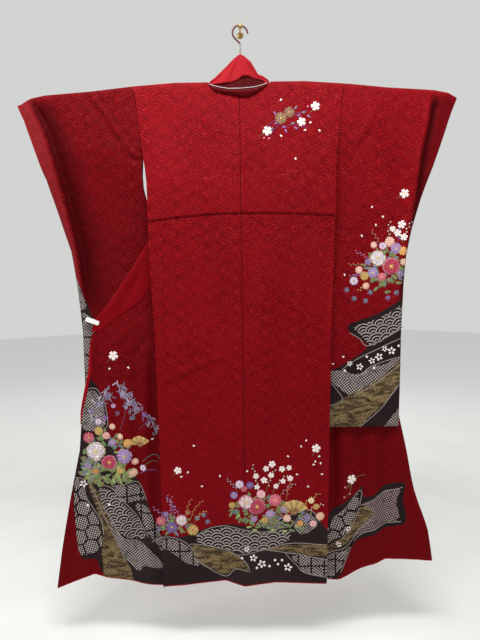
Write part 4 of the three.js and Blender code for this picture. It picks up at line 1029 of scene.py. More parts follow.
# the runs behind, from the side seam in to the fold and round it, and all of the front above the flap
for side, nm in ((-1, "left"), (1, "right")):
    rows, hem = (FRONT_L, HEM_LEFT) if side < 0 else (FRONT_R, HEM_RIGHT)

    def at(u, z, rows=rows, side=side, hem=hem, low=True):
        pts, r = front_outline(rows, z)
        u = min(u, 17)
        i = int(min(u, 16.999))
        k = u - i
        X = pts[i][0] + (pts[i + 1][0] - pts[i][0]) * k
        Y = pts[i][1] + (pts[i + 1][1] - pts[i][1]) * k
        drop = float(flap_off(hem)(np.array(X), np.array(float(z))))
        wave = 2.2 * math.sin(X * 0.045 + z * 0.004) * float(smooth((-620 - z) / 300)) if 3 <= i < 5 else 0
        return (side * X, Y + wave, z + drop)

    us = [0, 1, 2, 3] + list(np.linspace(3.05, 4.95, 26)) + list(range(5, 18))
    vs = [-171, -171.8, -172.6, -174.5, -177, -185, -200, -215] + list(np.arange(-235, -560, -18.0)) + list(np.arange(-570, -1800, -14.0)) + [HEM_Z]
    grid_wall("front_" + nm + "_run", us, vs, at, CLOTH, side, [M_SILK], ["front_" + nm])
    ob = bpy.data.objects["front_" + nm + "_run"]
    "hanger_arm_" + nm
    # upper stretch of the outward run: front and collar above the flap's top
    def up(t, z, rows=rows, side=side, hem=hem):
        pts, r = front_outline(rows, z)
        a, b = pts[17], pts[18]
        X = a[0] + (b[0] - a[0]) * t
        drop = float(flap_off(hem)(np.array(X), np.array(float(z))))
        return (side * X, a[1] + (b[1] - a[1]) * t - 0.2, z + drop)
    vs = [-171.8, -174, -178, -186, -200, -215] + list(np.arange(-235, -640, -15.0)) + [-641]
    grid_wall("collar_" + nm + "_band", list(np.linspace(0, 1, 16)), vs, up, CLOTH, side, [M_PLAIN], ["collar_" + nm + "_upper"])
    bpy.data.objects["collar_" + nm + "_band"]
    "hanger_arm_" + nm

# ------------------------------------------------------------------------------- sleeves
for side, nm, rows, zones in ((-1, "left", SLEEVE_L, Z_SLEEVE_L), (1, "right", SLEEVE_R, Z_SLEEVE_R)):
    cols = ("z", "outer", "inner", "y")
    drop = lambda X, q: q + float(shoulder_drop(np.array(float(X)), np.array(float(q))))
    edges = [-171.0, -174, -180, -190, -205, -226, -260, -300, -349, -370, -398, -420, -445, -465, -484, -505, -526] + list(np.arange(-560, -1262, -30.0)) + [-1262, -1268, -1272]
    outer = [(side * float(col(rows, np.array(q), "outer", cols)), drop(col(rows, np.array(q), "outer", cols), q)) for q in edges]
    inner = [(side * float(col(rows, np.array(q), "inner", cols)), drop(col(rows, np.array(q), "inner", cols), q)) for q in reversed(edges)]
    bottom = [(side * X, drop(X, SLEEVE_HEM_Z)) for X in np.linspace(float(col(rows, np.array(-1272.0), "outer", cols)), float(col(rows, np.array(-1272.0), "inner", cols)), 30)][1:-1]
    top = [(side * X, drop(X, -171.0)) for X in np.linspace(float(col(rows, np.array(-171.0), "inner", cols)), float(col(rows, np.array(-171.0), "outer", cols)), 40)][1:-1]
    out = outer + bottom + inner + top
    fine = None
    for face, tag in ((-1, "camera_side"), (1, "wall_side")):
        yf = (lambda s, f: (lambda x, z: sleeve_y(s, f, x, z)))(side, face)
        z_here = zones if face < 0 else [(p, m) for p, m in zones]
        ob = panel("sleeve_" + nm + "_" + tag, out, yf, z_here, ["sleeve_" + nm + ("_back" if face < 0 else "_front")], step=6.0, way=-face, fine=fine, base="silk_sleeve_" + nm)
        "hanger_arm_" + nm

# =====================================================================================
# motifs: petals, leaves and outlines, each a small domed shell just proud of the cloth
# =====================================================================================
RNG = random.Random(41)
WHITE, CREAM, PINK, ROSE, CRIMSON = hex_rgb(238, 226, 224), hex_rgb(232, 205, 176), hex_rgb(214, 110, 132), hex_rgb(190, 58, 86), hex_rgb(150, 26, 52)
PURPLE, VIOLET, LILAC, BLUEGREY = hex_rgb(128, 88, 150), hex_rgb(84, 52, 122), hex_rgb(176, 148, 190), hex_rgb(104, 108, 132)
YELLOW, ORANGE, OCHRE, BROWN = hex_rgb(212, 180, 88), hex_rgb(206, 112, 62), hex_rgb(158, 116, 62), hex_rgb(98, 58, 40)
GREEN, OLIVE, TEAL, GREY = hex_rgb(98, 116, 66), hex_rgb(112, 104, 58), hex_rgb(72, 104, 98), hex_rgb(120, 112, 112)
FOIL = hex_rgb(196, 160, 96)


class Motifs:
    """gathers shells that lie on one panel; yfun is that panel's face"""

    def __init__(self, name, yfun, y, back=False):
        self.name, self.yfun, self.y = name, yfun, y
        self.V, self.F, self.C = [], [], []
        self.layer = 0.30

    def shell(self, outline, height, color, rim=None, dome=0.35):
        """closed shell: outline (n points in x-z, going round), a centre that stands higher, and a flat underside"""
        pts = np.asarray(outline, float)
        n = len(pts)
        c = pts.mean(0)
        ring = c + (pts - c) * 0.62
        X = np.concatenate([pts[:, 0], ring[:, 0], [c[0]], pts[:, 0], [c[0]]])
        Z = np.concatenate([pts[:, 1], ring[:, 1], [c[1]], pts[:, 1], [c[1]]])
        lift = np.concatenate([np.full(n, height), np.full(n, height + dome), [height + dome * 1.1], np.full(n + 1, 0.12)])
        y = np.asarray(self.yfun(X, Z), float) - lift
        o = len(self.V)
        self.V += list(zip(X, y, Z))
        area = 0.5 * np.sum(pts[:, 0] * np.roll(pts[:, 1], -1) - np.roll(pts[:, 0], -1) * pts[:, 1])
        rim = rim or color
        turn = (lambda t: t) if area > 0 else (lambda t: t[::-1])
        for i in range(n):
            j = (i + 1) % n
            self.F += [turn((o + i, o + j, o + n + j)), turn((o + i, o + n + j, o + n + i))]
            self.C += [rim, rim]
            self.F.append(turn((o + n + i, o + n + j, o + 2 * n)))
            self.C.append(color)
            b = o + 2 * n + 1
            self.F += [turn((b + j, b + i, b + n)), turn((o + i, b + i, b + j)), turn((o + i, b + j, o + j))]
            self.C += [rim, rim, rim]

    def to(self, px, py):
        return spot(px, py, self.y)

    def petal(self, x, z, ang, length, width, color, h, notch=0.0, rim=None, dome=0.35, tip=1.0):
        """one petal whose root is at x, z"""
        pts = []
        for k in range(11):
            t = 2 * math.pi * k / 11
            u = 0.5 + 0.5 * math.cos(t)
            w = math.sin(t) * 0.5 * (0.55 + 0.75 * u) * tip
            if notch and u > 0.93:
                u -= notch
            pts.append((u * length, w * width))
        c, s = math.cos(ang), math.sin(ang)
        self.shell([(x + a * c - b * s, z + a * s + b * c) for a, b in pts], h, color, rim, dome)

    def disc(self, x, z, r, color, h, n=9, dome=0.4, squash=1.0, ang=0.0):
        c, s = math.cos(ang), math.sin(ang)
        pts = [(r * math.cos(2 * math.pi * k / n), r * squash * math.sin(2 * math.pi * k / n)) for k in range(n)]
        self.shell([(x + a * c - b * s, z + a * s + b * c) for a, b in pts], h, color, None, dome)

    def strip(self, pts, width, color, h=0.35, taper=True, inp=True):
        """a stem or outline: a closed ribbon along pts (pixels of the layout)"""
        P = np.array([self.to(*q) for q in pts] if inp else pts, float)
        out = []
        for i in range(len(P) - 1):
            k = max(2, int(np.hypot(*(P[i + 1] - P[i])) / 7))
            p0, p1, p2, p3 = P[max(i - 1, 0)], P[i], P[i + 1], P[min(i + 2, len(P) - 1)]
            for j in range(k):
                t = j / k
                out.append(0.5 * (2 * p1 + (p2 - p0) * t + (2 * p0 - 5 * p1 + 4 * p2 - p3) * t * t + (3 * p1 - p0 - 3 * p2 + p3) * t ** 3))
        out.append(P[-1])
        Q = np.array(out)
        d = np.gradient(Q, axis=0)
        d /= np.maximum(np.hypot(d[:, 0], d[:, 1]), 1e-9)[:, None]
        nrm = np.stack([-d[:, 1], d[:, 0]], 1)
        n = len(Q)
        w = np.full(n, width / 2.0)
        if taper:
            t = np.linspace(0, 1, n)
            w = width / 2 * (0.35 + 0.65 * np.sin(np.pi * np.clip(t * 0.9 + 0.08, 0, 1)) ** 0.6)
        A, B = Q + nrm * w[:, None], Q - nrm * w[:, None]
        X = np.concatenate([A[:, 0], Q[:, 0], B[:, 0], A[:, 0], B[:, 0]])
        Z = np.concatenate([A[:, 1], Q[:, 1], B[:, 1], A[:, 1], B[:, 1]])
        lift = np.concatenate([np.full(n, h), np.full(n, h + 0.12), np.full(n, h), np.full(2 * n, 0.1)])
        y = np.asarray(self.yfun(X, Z), float) - lift
        o = len(self.V)
        self.V += list(zip(X, y, Z))
        a, m, b, al, bl = (o + k * n for k in range(5))
        for i in range(n - 1):
            for q in ((m + i, m + i + 1, a + i + 1, a + i), (b + i, b + i + 1, m + i + 1, m + i),
                      (al + i, al + i + 1, bl + i + 1, bl + i), (a + i, a + i + 1, al + i + 1, al + i), (bl + i, bl + i + 1, b + i + 1, b + i)):
                self.F.append(q)
                self.C.append(color)
        for i, flip in ((0, False), (n - 1, True)):
            q = (m + i, a + i, al + i, bl + i, b + i)
            self.F.append(q[::-1] if flip else q)
            self.C.append(color)

    def leaf(self, px, py, deg, length, width, color, h=0.4):
        x, z = self.to(px, py)
        a = math.radians(deg)
        pts = []
        for k in range(10):
            t = 2 * math.pi * k / 10
            u = math.cos(t)
            pts.append((u * length / 2, math.sin(t) * width / 2 * (1 - 0.25 * u)))
        c, s = math.cos(a), math.sin(a)
        self.shell([(x + p * c - q * s, z + p * s + q * c) for p, q in pts], h, color, None, 0.25)
        vein = [(x + length * 0.44 * c * t, z + length * 0.44 * s * t) for t in (-1, 0, 1)]
        self.strip(vein, 0.9, [v * 1.5 + 0.03 for v in color], h + 0.42, True, False)

    def blossom(self, px, py, r, color=WHITE, core=YELLOW, turn=None, edge=None, h=0.45):
        """five notched petals with a small centre and fine stamens"""
        x, z = self.to(px, py)
        R = r * 3.17
        turn = RNG.uniform(0, 1.2) if turn is None else turn
        for k in range(5):
            a = turn + k * 2 * math.pi / 5
            if edge:
                self.petal(x + 0.06 * R * math.cos(a), z + 0.06 * R * math.sin(a), a, R * 1.0, R * 0.98, edge, h - 0.15, 0.16)
            self.petal(x + 0.05 * R * math.cos(a), z + 0.05 * R * math.sin(a), a, R * 1.02, R * 0.70, color, h, 0.22)
        for k in range(5):
            a = turn + (k + 0.5) * 2 * math.pi / 5
            self.disc(x + 0.34 * R * math.cos(a), z + 0.34 * R * math.sin(a), R * 0.055, core, h + 0.42, 5)
        self.disc(x, z, R * 0.13, core, h + 0.45, 7)
        if r > 4.1:
            a = RNG.uniform(3.4, 4.2)
            end = (x + 2.1 * R * math.cos(a), z + 2.1 * R * math.sin(a))
            self.strip([(x + 0.8 * R * math.cos(a), z + 0.8 * R * math.sin(a)), ((x + end[0]) / 2, (z + end[1]) / 2 - 2), end], 1.1, OLIVE, 0.3, True, False)

    def loose(self, px, py, deg=None, color=WHITE, size=2.3):
        x, z = self.to(px, py)
        a = math.radians(deg if deg is not None else RNG.uniform(0, 360))
        L = size * 3.17 * 1.25
        self.petal(x - L / 2 * math.cos(a), z - L / 2 * math.sin(a), a, L, L * 0.62, color, 0.4, 0.14)

    def mum(self, px, py, r, color, edge, core=None, rings=3, count=13, h=0.4):
        """many narrow petals in rings"""
        x, z = self.to(px, py)
        R = r * 3.17
        self.disc(x, z, R * 0.72, edge, h - 0.1, 12)
        for ring in range(rings):
            n = max(6, int(count * (1 - 0.22 * ring)))
            reach = R * (1.0 - 0.27 * ring)
            off = ring * 0.24
            for k in range(n):
                a = 2 * math.pi * (k + off * 2) / n + RNG.uniform(-0.05, 0.05)
                f = 0.5 + 0.5 * ((k + ring) % 2)
                tone = [c * (0.72 + 0.28 * f) + (0.05 * ring) * (1 - c) for c in color]
                root = reach * 0.36
                self.petal(x + root * math.cos(a), z + root * math.sin(a), a, reach - root, 2 * math.pi * reach / n * 0.74, tone, h + 0.22 * ring, 0, edge, 0.25)
        self.disc(x, z, R * 0.16, core or color, h + 0.22 * rings + 0.1, 7)

    def peony(self, px, py, r, color, edge, deep, core=YELLOW, h=0.35):
        """broad ruffled petals in four rings, darker at their roots"""
        x, z = self.to(px, py)
        R = r * 3.17
        for ring, (reach, n, wide) in enumerate(((1.0, 8, 0.92), (0.80, 7, 0.78), (0.58, 6, 0.62), (0.38, 5, 0.46))):
            for k in range(n):
                a = 2 * math.pi * (k + 0.5 * (ring % 2)) / n + RNG.uniform(-0.12, 0.12)
                m = 0.0 + 0.24 * ring
                f = 1.0 if k % 2 else 0.84
                tone = [(c * (1 - m * 0.45) + d * m * 0.45) * f for c, d in zip(color, deep)]
                q = RNG.uniform(0.90, 1.06)
                L = R * reach * q
                root = L * 0.20
                rimc = [0.62 * c for c in (edge if ring == 0 else [0.5 * a + 0.5 * b for a, b in zip(color, deep)])]
                self.petal(x + root * math.cos(a), z + root * math.sin(a), a, L - root, R * wide * 0.86, rimc, h + 0.24 * ring, 0.09)
                self.petal(x + root * math.cos(a), z + root * math.sin(a), a, (L - root) * 0.90, R * wide * 0.70, tone, h + 0.24 * ring + 0.10, 0.09)
        self.disc(x, z, R * 0.15, core, h + 1.2, 7)
        for k in range(6):
            a = k * math.pi / 3
            self.disc(x + R * 0.22 * math.cos(a), z + R * 0.22 * math.sin(a), R * 0.05, core, h + 1.15, 5)

    def plum(self, px, py, r, color=WHITE):
        """a round five-petalled plum blossom, flat and pale on the dark ground"""
        x, z = self.to(px, py)
        R = r * 3.17
        t = RNG.uniform(0, 1.2)
        for k in range(5):
            a = t + 2 * math.pi * k / 5
            self.disc(x + R * 0.66 * math.cos(a), z + R * 0.66 * math.sin(a), R * 0.38, color, 0.35, 9, 0.4, 0.72, a)

    def dot(self, px, py, r=1.6, color=WHITE):
        x, z = self.to(px, py)
        self.disc(x, z, r * 3.17, color, 0.35, 9)

    def maple(self, px, py, r, color, turn=0.0):
        x, z = self.to(px, py)
        R = r * 3.17
        for a, L in ((0, 1.0), (0.75, 0.86), (-0.75, 0.86), (1.5, 0.66), (-1.5, 0.66), (2.2, 0.4), (-2.2, 0.4)):
            b = turn + a
            self.petal(x, z, b, R * L, R * 0.34, color, 0.4, 0, None, 0.15, 0.8)
        self.strip([(x, z), (x - R * 0.5 * math.cos(turn), z - R * 0.5 * math.sin(turn))], 1.0, color, 0.4, True, False)

    def fan(self, px, py, r, deg, ribs=9):
        """an open folding fan in foil: ribs, leaf and pivot"""
        x, z = self.to(px, py)
        R = r * 3.17
        mid = math.radians(deg)
        span = math.radians(118)
        for k in range(ribs):
            a = mid + span * (k / (ribs - 1) - 0.5)
            tone = FOIL if k % 2 == 0 else [c * 0.62 for c in FOIL]
            da = span / (ribs - 1) * 0.49
            ring = [(x + R * q * math.cos(a + s * da), z + R * q * math.sin(a + s * da)) for q, s in ((0.42, -1), (0.72, -1), (1.0, -1), (1.02, 0), (1.0, 1), (0.72, 1), (0.42, 1))]
            self.shell(ring, 0.5, tone, None, 0.2)
            self.strip([(x, z), (x + 0.42 * R * math.cos(a), z + 0.42 * R * math.sin(a))], 1.5, OCHRE, 0.5, False, False)
        self.disc(x, z, R * 0.07, BROWN, 0.6, 7)

    def cloud(self, pts, color=hex_rgb(138, 128, 122), width=2.5):
        self.strip(pts, width, color, 0.32, False)

    def grass(self, px, py, deg, length, color, bend=10):
        x, z = self.to(px, py)
        a = math.radians(deg)
        b = math.radians(deg + bend)
        L = length * 3.17
        mid = (x + L * 0.5 * math.cos(a), z + L * 0.5 * math.sin(a))
        end = (mid[0] + L * 0.5 * math.cos(b), mid[1] + L * 0.5 * math.sin(b))
        self.strip([(x, z), mid, end], 1.5, color, 0.35, True, False)
        return end

    def spray(self, px, py, deg, length, color, bud, bend=12, n=7, size=1.0):
        """a stem with small buds set to both sides"""
        x, z = self.to(px, py)
        a, b = math.radians(deg), math.radians(deg + bend)
        L = length * 3.17
        self.grass(px, py, deg, length, color, bend)
        for k in range(n):
            t = 0.30 + 0.7 * k / (n - 1)
            c = a if t < 0.5 else b
            bx = x + L * (0.5 * min(t, 0.5) * 2 * math.cos(a)) + L * max(t - 0.5, 0) * math.cos(b)
            bz = z + L * (0.5 * min(t, 0.5) * 2 * math.sin(a)) + L * max(t - 0.5, 0) * math.sin(b)
            side = 1 if k % 2 else -1
            off = 3.4 * size
            self.disc(bx - side * off * math.sin(c), bz + side * off * math.cos(c), 1.9 * size, bud, 0.4, 6)

    def build(self, rest):
        if not self.V:
            return
        names = sorted({tuple(c) for c in self.C})
        me = bpy.data.meshes.new(self.name)
        me.from_pydata([tuple(v) for v in np.asarray(self.V, float) * MM], [], [tuple(f) for f in self.F])
        me.materials.append(M_PAINT)
        layer = me.color_attributes.new("dye", "FLOAT_COLOR", "CORNER")
        flat = []
        for poly, c in zip(me.polygons, self.C):
            flat += [(*c, 1.0)] * poly.loop_total
        layer.data.foreach_set("color", np.asarray(flat, np.float32).ravel())
        me.polygons.foreach_set("use_smooth", np.ones(len(me.polygons), bool))
        me.update()
        ob = bpy.data.objects.new(self.name, me)
        SCENE.collection.objects.link(ob)
        fix_normals(ob)
        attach(ob, "root")
        return ob


def leaves(m, spots, color, size=16.0, wide=8.0):
    for px, py, deg in spots:
        m.leaf(px, py, deg, size, wide, color)


def bouquet_ground(m, cx, cy, rx, ry, n, tones, size=14.0):
    """leaves fanned out below and between the flowers"""
    for k in range(n):
        a = 2 * math.pi * k / n + RNG.uniform(-0.2, 0.2)
        q = RNG.uniform(0.72, 1.0)
        m.leaf(cx + rx * q * math.cos(a), cy - ry * q * math.sin(a), math.degrees(a) + RNG.uniform(-24, 24), size * RNG.uniform(0.9, 1.3), size * 0.50, tones[k % len(tones)], 0.28)
    for ring, share in ((0.72, 1.1), (0.44, 0.7)):
        w = int(n * share)
        for k in range(w):
            a = 2 * math.pi * (k + 0.5) / w + RNG.uniform(-0.25, 0.25)
            tone = [c * RNG.uniform(0.75, 1.25) for c in tones[(k + 1) % len(tones)]]
            m.leaf(cx + rx * ring * math.cos(a), cy - ry * ring * math.sin(a), math.degrees(a) + RNG.uniform(-60, 60), size * RNG.uniform(0.9, 1.3), size * 0.52, tone, 0.14)


# ------------------------------------------------------------------------------- shoulder spray
m = Motifs("motif_shoulder", back_y, -76.0)
m.strip([(271, 134), (278, 125), (287, 118), (300, 112), (309, 110)], 1.5, VIOLET)
m.strip([(281, 128), (293, 124), (303, 127), (310, 126)], 1.3, VIOLET)
m.strip([(274, 120), (268, 126), (265, 133)], 1.2, VIOLET)
for a, b, d, c in ((276, 123, 40, PURPLE), (272, 129, 70, BLUEGREY), (284, 127, -20, PURPLE), (293, 123, 15, BLUEGREY), (299, 115, 30, PURPLE), (304, 112, 10, BLUEGREY),
                   (296, 128, -30, PURPLE), (303, 124, 60, PURPLE), (309, 116, -40, BLUEGREY), (275, 113, 120, PURPLE), (296, 107, 60, BLUEGREY), (286, 131, -60, PURPLE)):
    m.leaf(a, b, d, 13, 5.5, c)
m.mum(281, 118, 6.2, OCHRE, BROWN, YELLOW, 3, 12)
m.mum(289.4, 112, 5.6, hex_rgb(146, 98, 60), BROWN, YELLOW, 3, 11)
for a, b, r in ((315.7, 105.7, 4.6), (301.6, 121.6, 4.5), (267.4, 131, 4.8)):
    m.blossom(a, b, r)
for a, b in ((281, 99.3), (310.4, 122.4), (305, 130), (319.5, 130.5), (281, 135.9), (295.4, 159)):
    m.loose(a, b)
for a, b in ((264, 138), (269, 138.5), (308, 106)):
    m.dot(a, b, 1.0, PINK)
m.build(())

# ------------------------------------------------------------------------------- back hem
m = Motifs("motif_back_hem", back_y, -85.0)
for pts in ([(190, 544), (204, 545), (222, 549), (237, 555), (247, 564), (250, 572)], [(236, 555), (248, 554), (270, 548), (289, 543), (305, 543), (326, 545)],
            [(194, 558), (204, 565), (216, 572), (227, 576), (236, 569), (249, 572)], [(262, 549), (283, 552), (300, 554), (318, 558), (328, 560)],
            [(285, 553), (297, 565), (304, 572), (328, 578)], [(152, 542), (165, 537), (180, 539), (190, 546), (198, 557)], [(196, 536), (210, 528), (226, 526), (246, 530), (263, 532), (277, 529), (289, 526)],
            [(277, 520), (291, 514), (304, 509), (314, 512), (320, 522)]):
    m.cloud(pts)
for a, b, r in ((253.5, 558, 4), (262, 564, 4.4), (288, 567, 4.4), (247, 549, 3)):
    m.plum(a, b, r)
for a, b in ((242, 558), (275, 560), (278, 564), (269.5, 566), (257, 568), (282, 560)):
    m.dot(a, b, 1.4)
# left cluster
for a, b, deg, L, c, e, bend in ((180, 518, 112, 26, PURPLE, LILAC, 22), (176, 520, 102, 28, VIOLET, LILAC, 12), (172, 520, 94, 26, PURPLE, PINK, -8), (186, 520, 84, 24, OCHRE, ORANGE, -16),
                               (190, 522, 72, 28, OCHRE, ORANGE, -24), (168, 522, 124, 22, VIOLET, LILAC, 20), (194, 524, 62, 20, OCHRE, YELLOW, -26)):
    m.spray(a, b, deg, L, c, e, bend, 7)
bouquet_ground(m, 175, 525, 17, 10, 13, [GREEN, OLIVE, BLUEGREY, GREEN], 16)
for a, b, t in ((203, 515, 0.4), (207, 521, -0.6), (160, 529, 2.6), (197, 519, 1.4)):
    m.maple(a, b, 4.2, BLUEGREY, t)
m.mum(161, 521, 5.4, PINK, CRIMSON, YELLOW)
m.mum(172, 527, 6.6, PURPLE, VIOLET, YELLOW)
m.mum(193, 530, 6.2, YELLOW, OCHRE, ORANGE)
m.peony(181.5, 519.5, 6.8, WHITE, PINK, LILAC)
m.mum(166, 514, 3.2, LILAC, VIOLET, YELLOW, 2, 9)
m.mum(188, 512, 3.0, ORANGE, BROWN, YELLOW, 2, 9)
# main cluster
for a, b, deg, L, c, e, bend in ((258, 492, 96, 30, OLIVE, WHITE, 10), (266, 492, 74, 26, OLIVE, WHITE, -10), (272, 494, 62, 26, OLIVE, WHITE, -18), (278, 498, 50, 24, OLIVE, LILAC, -16),
                               (238, 492, 122, 18, OLIVE, LILAC, 14), (300, 508, 46, 26, OCHRE, YELLOW, -14), (306, 512, 36, 20, OCHRE, WHITE, -20), (286, 500, 80, 24, OCHRE, PINK, -8)):
    m.spray(a, b, deg, L, c, e, bend, 7)
bouquet_ground(m, 258, 510, 30, 17, 26, [GREEN, OLIVE, GREEN, OLIVE, TEAL], 18)
bouquet_ground(m, 290, 517, 24, 10, 12, [GREEN, OLIVE, BLUEGREY], 15)
m.fan(294, 514, 15.5, 90)
m.peony(246, 502, 8.8, WHITE, PINK, PINK)
m.peony(257.0, 506.5, 9.4, ROSE, PINK, CRIMSON)
for a, b, r, c, e in ((239.5, 484, 4.6, WHITE, LILAC), (250, 485, 4.2, PURPLE, VIOLET), (244, 488.5, 3.6, PINK, CRIMSON), (261, 494, 5.0, WHITE, PINK), (234, 495, 4.2, LILAC, VIOLET),
                      (275, 500, 6.8, ROSE, PINK), (270, 514, 4.8, PURPLE, LILAC), (284, 509, 4.2, VIOLET, LILAC), (287, 518, 4.2, PINK, CREAM), (311, 500, 3.4, WHITE, YELLOW),
                      (316, 506, 3.4, YELLOW, OCHRE), (320, 516, 4.6, ORANGE, CREAM), (307, 517, 3.8, LILAC, VIOLET), (300, 523, 3.4, YELLOW, ORANGE), (313, 523, 3.6, WHITE, PINK),
                      (232, 505, 3.6, YELLOW, OCHRE), (265, 520, 3.6, YELLOW, OCHRE), (254, 519, 3.6, LILAC, PURPLE)):
    m.mum(a, b, r, c, e, YELLOW, 2 if r < 4 else 3, 9 if r < 4 else 12)
leaves(m, ((252, 522, 30), (258, 527, 10), (265, 524, -30), (270, 528, -8), (276, 523, 40), (281, 527, 14), (288, 525, -24), (292, 530, -6), (244, 519, 50), (302, 528, 4), (231, 514, 60), (246, 513, 80)), GREEN, 22, 9)
leaves(m, ((255, 530, -10), (262, 520, 60), (273, 530, 20), (285, 531, 30), (297, 526, -40), (249, 527, 5), (238, 516, 35)), hex_rgb(150, 160, 92), 18, 7)
for a, b, r in ((272, 464, 3.9), (266, 468.5, 3.3), (282, 469, 3.5), (289, 467.5, 3.0), (271, 475, 3.3), (256, 476, 3.3), (264, 480, 3.7), (283, 481, 3.0), (290, 478, 3.3), (257, 487, 3.0), (276, 486, 2.9)):
    m.blossom(a, b, r)
m.blossom(178, 470, 4.2)
m.blossom(316, 448, 4.8)
for a, b in ((194, 445.5), (188, 472), (181.5, 476), (220, 476), (202, 486), (306, 440), (301, 446), (288, 456), (319, 456), (315, 461), (313.5, 464), (320.5, 463), (322, 474), (297, 474), (247, 471), (308, 486)):
    m.loose(a, b)
m.build(())

# ------------------------------------------------------------------------------- left front
flap_left = lambda x, z: flap_y(-1, x, z)
m = Motifs("motif_left_front", flap_left, -54.0)
for pts in ([(95, 483), (110, 488), (122, 498), (134, 513), (149, 536)], [(88, 479), (97, 498), (104, 516), (113, 533), (121, 548), (126, 560)], [(103, 508), (112, 520), (124, 537), (142, 543), (152, 551)],
            [(112, 487), (124, 484), (138, 483), (147, 500)], [(84, 391), (95, 389), (104, 404), (107, 426), (96, 433)], [(75, 478), (83, 480), (86, 496), (94, 508), (102, 522), (104, 534)]):
    m.cloud(pts)
m.plum(83.5, 484, 4)
m.dot(88, 505, 1.5)
m.dot(109, 505, 1.4)
# purple-grey maple sprays above the flowers
ASH, MAUVE = hex_rgb(122, 112, 132), hex_rgb(106, 72, 104)
for pts in ([(100, 425), (104, 412), (108, 402)], [(120, 430), (125, 414), (124, 400)], [(138, 430), (144, 424), (150, 420)]):
    m.strip(pts, 1.2, MAUVE)
PALE_ASH = hex_rgb(168, 150, 166)
for k in range(104):       # narrow leaves hanging in tufts
    cx, cy, sp = ((107, 394, 5), (121, 390, 7), (128, 398, 5), (134, 407, 5), (148, 421, 5), (156, 431, 4), (122, 392, 6), (137, 409, 6), (129, 403, 4), (106, 399, 4))[k % 10]
    m.leaf(cx + RNG.uniform(-sp, sp), cy + RNG.uniform(-sp, sp) * 1.2, RNG.choice((-60, -75, -95, -110, -125, 30, 150)) + RNG.uniform(-10, 10), RNG.uniform(15, 23), 4.6, RNG.choice((ASH, MAUVE, PALE_ASH, BLUEGREY, ASH)), 0.3)
for a, b, r, t, c in ((107, 396, 5, 4.4, MAUVE), (123, 394, 6, 4.9, ASH), (127, 403, 5.0, 4.6, MAUVE), (137, 409, 5.5, 5.0, ASH), (99, 404, 5, 4.2, BLUEGREY), (150, 421, 5.5, 5.2, MAUVE),
                      (113, 407, 4, 1.6, LILAC), (118, 414, 4.0, 2.6, MAUVE), (144, 415, 4.5, 0.9, PURPLE), (132, 419, 4.5, 1.4, BLUEGREY), (106, 419, 4.5, 2.0, PURPLE), (92, 412, 4, 2.4, PURPLE)):
    m.maple(a, b, r, c, t)
bouquet_ground(m, 106, 453, 24, 21, 26, [GREEN, OLIVE, TEAL, GREEN, OLIVE], 19)
m.fan(140, 447, 11.5, 96)
for k in range(30):       # grey foliage over the spotted cloth
    m.leaf(RNG.uniform(88, 103), RNG.uniform(398, 424), RNG.uniform(20, 160), RNG.uniform(12, 20), 4.4, RNG.choice((BLUEGREY, ASH, PALE_ASH, hex_rgb(142, 138, 142))), 0.28)
bouquet_ground(m, 107, 474, 27, 11, 44, [GREEN, OLIVE, hex_rgb(140, 150, 84), GREEN], 19)
bouquet_ground(m, 90, 468, 10, 12, 12, [BLUEGREY, ASH, GREEN], 16)
m.peony(95.5, 451.5, 11.4, WHITE, CREAM, LILAC)
m.peony(109, 463, 8.8, ROSE, PINK, CRIMSON)
for a, b, r, c, e in ((88.4, 438, 6.2, PINK, CRIMSON), (98.5, 431.5, 4.8, YELLOW, OCHRE), (124.5, 456, 8.4, PURPLE, LILAC), (112, 443.5, 4.4, VIOLET, LILAC), (128, 443, 4.8, ORANGE, YELLOW),
                      (120, 436.5, 3.4, PINK, CREAM), (133, 473, 4.8, PINK, CREAM), (98, 422, 3.4, WHITE, LILAC), (106, 436, 4.2, CREAM, PINK), (88, 466, 4.4, LILAC, VIOLET), (120, 470, 4.2, YELLOW, OCHRE),
                      (143, 468, 3.6, WHITE, LILAC), (112, 427, 3.4, ROSE, CREAM), (135, 462, 3.6, ROSE, CREAM), (96, 471, 3.8, ORANGE, OCHRE)):
    m.mum(a, b, r, c, e, YELLOW, 2 if r < 4.2 else 3, 9 if r < 4.2 else 12)
leaves(m, ((108, 476, 12), (121, 480, -10), (98, 476, 40), (130, 481, 6), (84, 452, 80), (83, 460, 100)), GREEN, 22, 10)
m.maple(86, 472, 4.5, BLUEGREY, 3.6)
m.strip([(142, 462), (150, 456), (158, 457), (162, 464)], 2.0, TEAL)
m.strip([(140, 468), (150, 462), (158, 463)], 1.6, GREEN)
m.strip([(139, 474), (148, 470), (157, 472)], 1.6, PURPLE)
m.blossom(113, 356, 5.2)
for a, b in ((128, 368), (109, 369), (152, 440)):
    m.loose(a, b)
m.build(())

# ------------------------------------------------------------------------------- right sleeve
sleeve_r = lambda x, z: sleeve_y(1, -1, x, z)
m = Motifs("motif_right_sleeve", sleeve_r, -60.0)
for a, b, deg, L, c, e, bend in ((390, 248, 96, 26, OLIVE, WHITE, -8), (398, 246, 84, 26, PURPLE, LILAC, -10), (382, 250, 112, 22, OLIVE, PINK, 14), (372, 262, 140, 20, PURPLE, PINK, 16),
                               (368, 268, 160, 20, OLIVE, ORANGE, 18), (366, 274, 182, 16, PURPLE, LILAC, 14), (402, 244, 74, 24, OLIVE, WHITE, -12), (372, 282, 208, 16, OLIVE, YELLOW, 10)):
    m.spray(a, b, deg, L, c, e, bend, 7)
bouquet_ground(m, 384, 267, 21, 20, 26, [GREEN, OLIVE, GREEN, OLIVE, BLUEGREY], 18)
m.peony(378, 258, 8.6, WHITE, CREAM, LILAC)
m.peony(391.5, 266.5, 9.8, ROSE, PINK, CRIMSON)
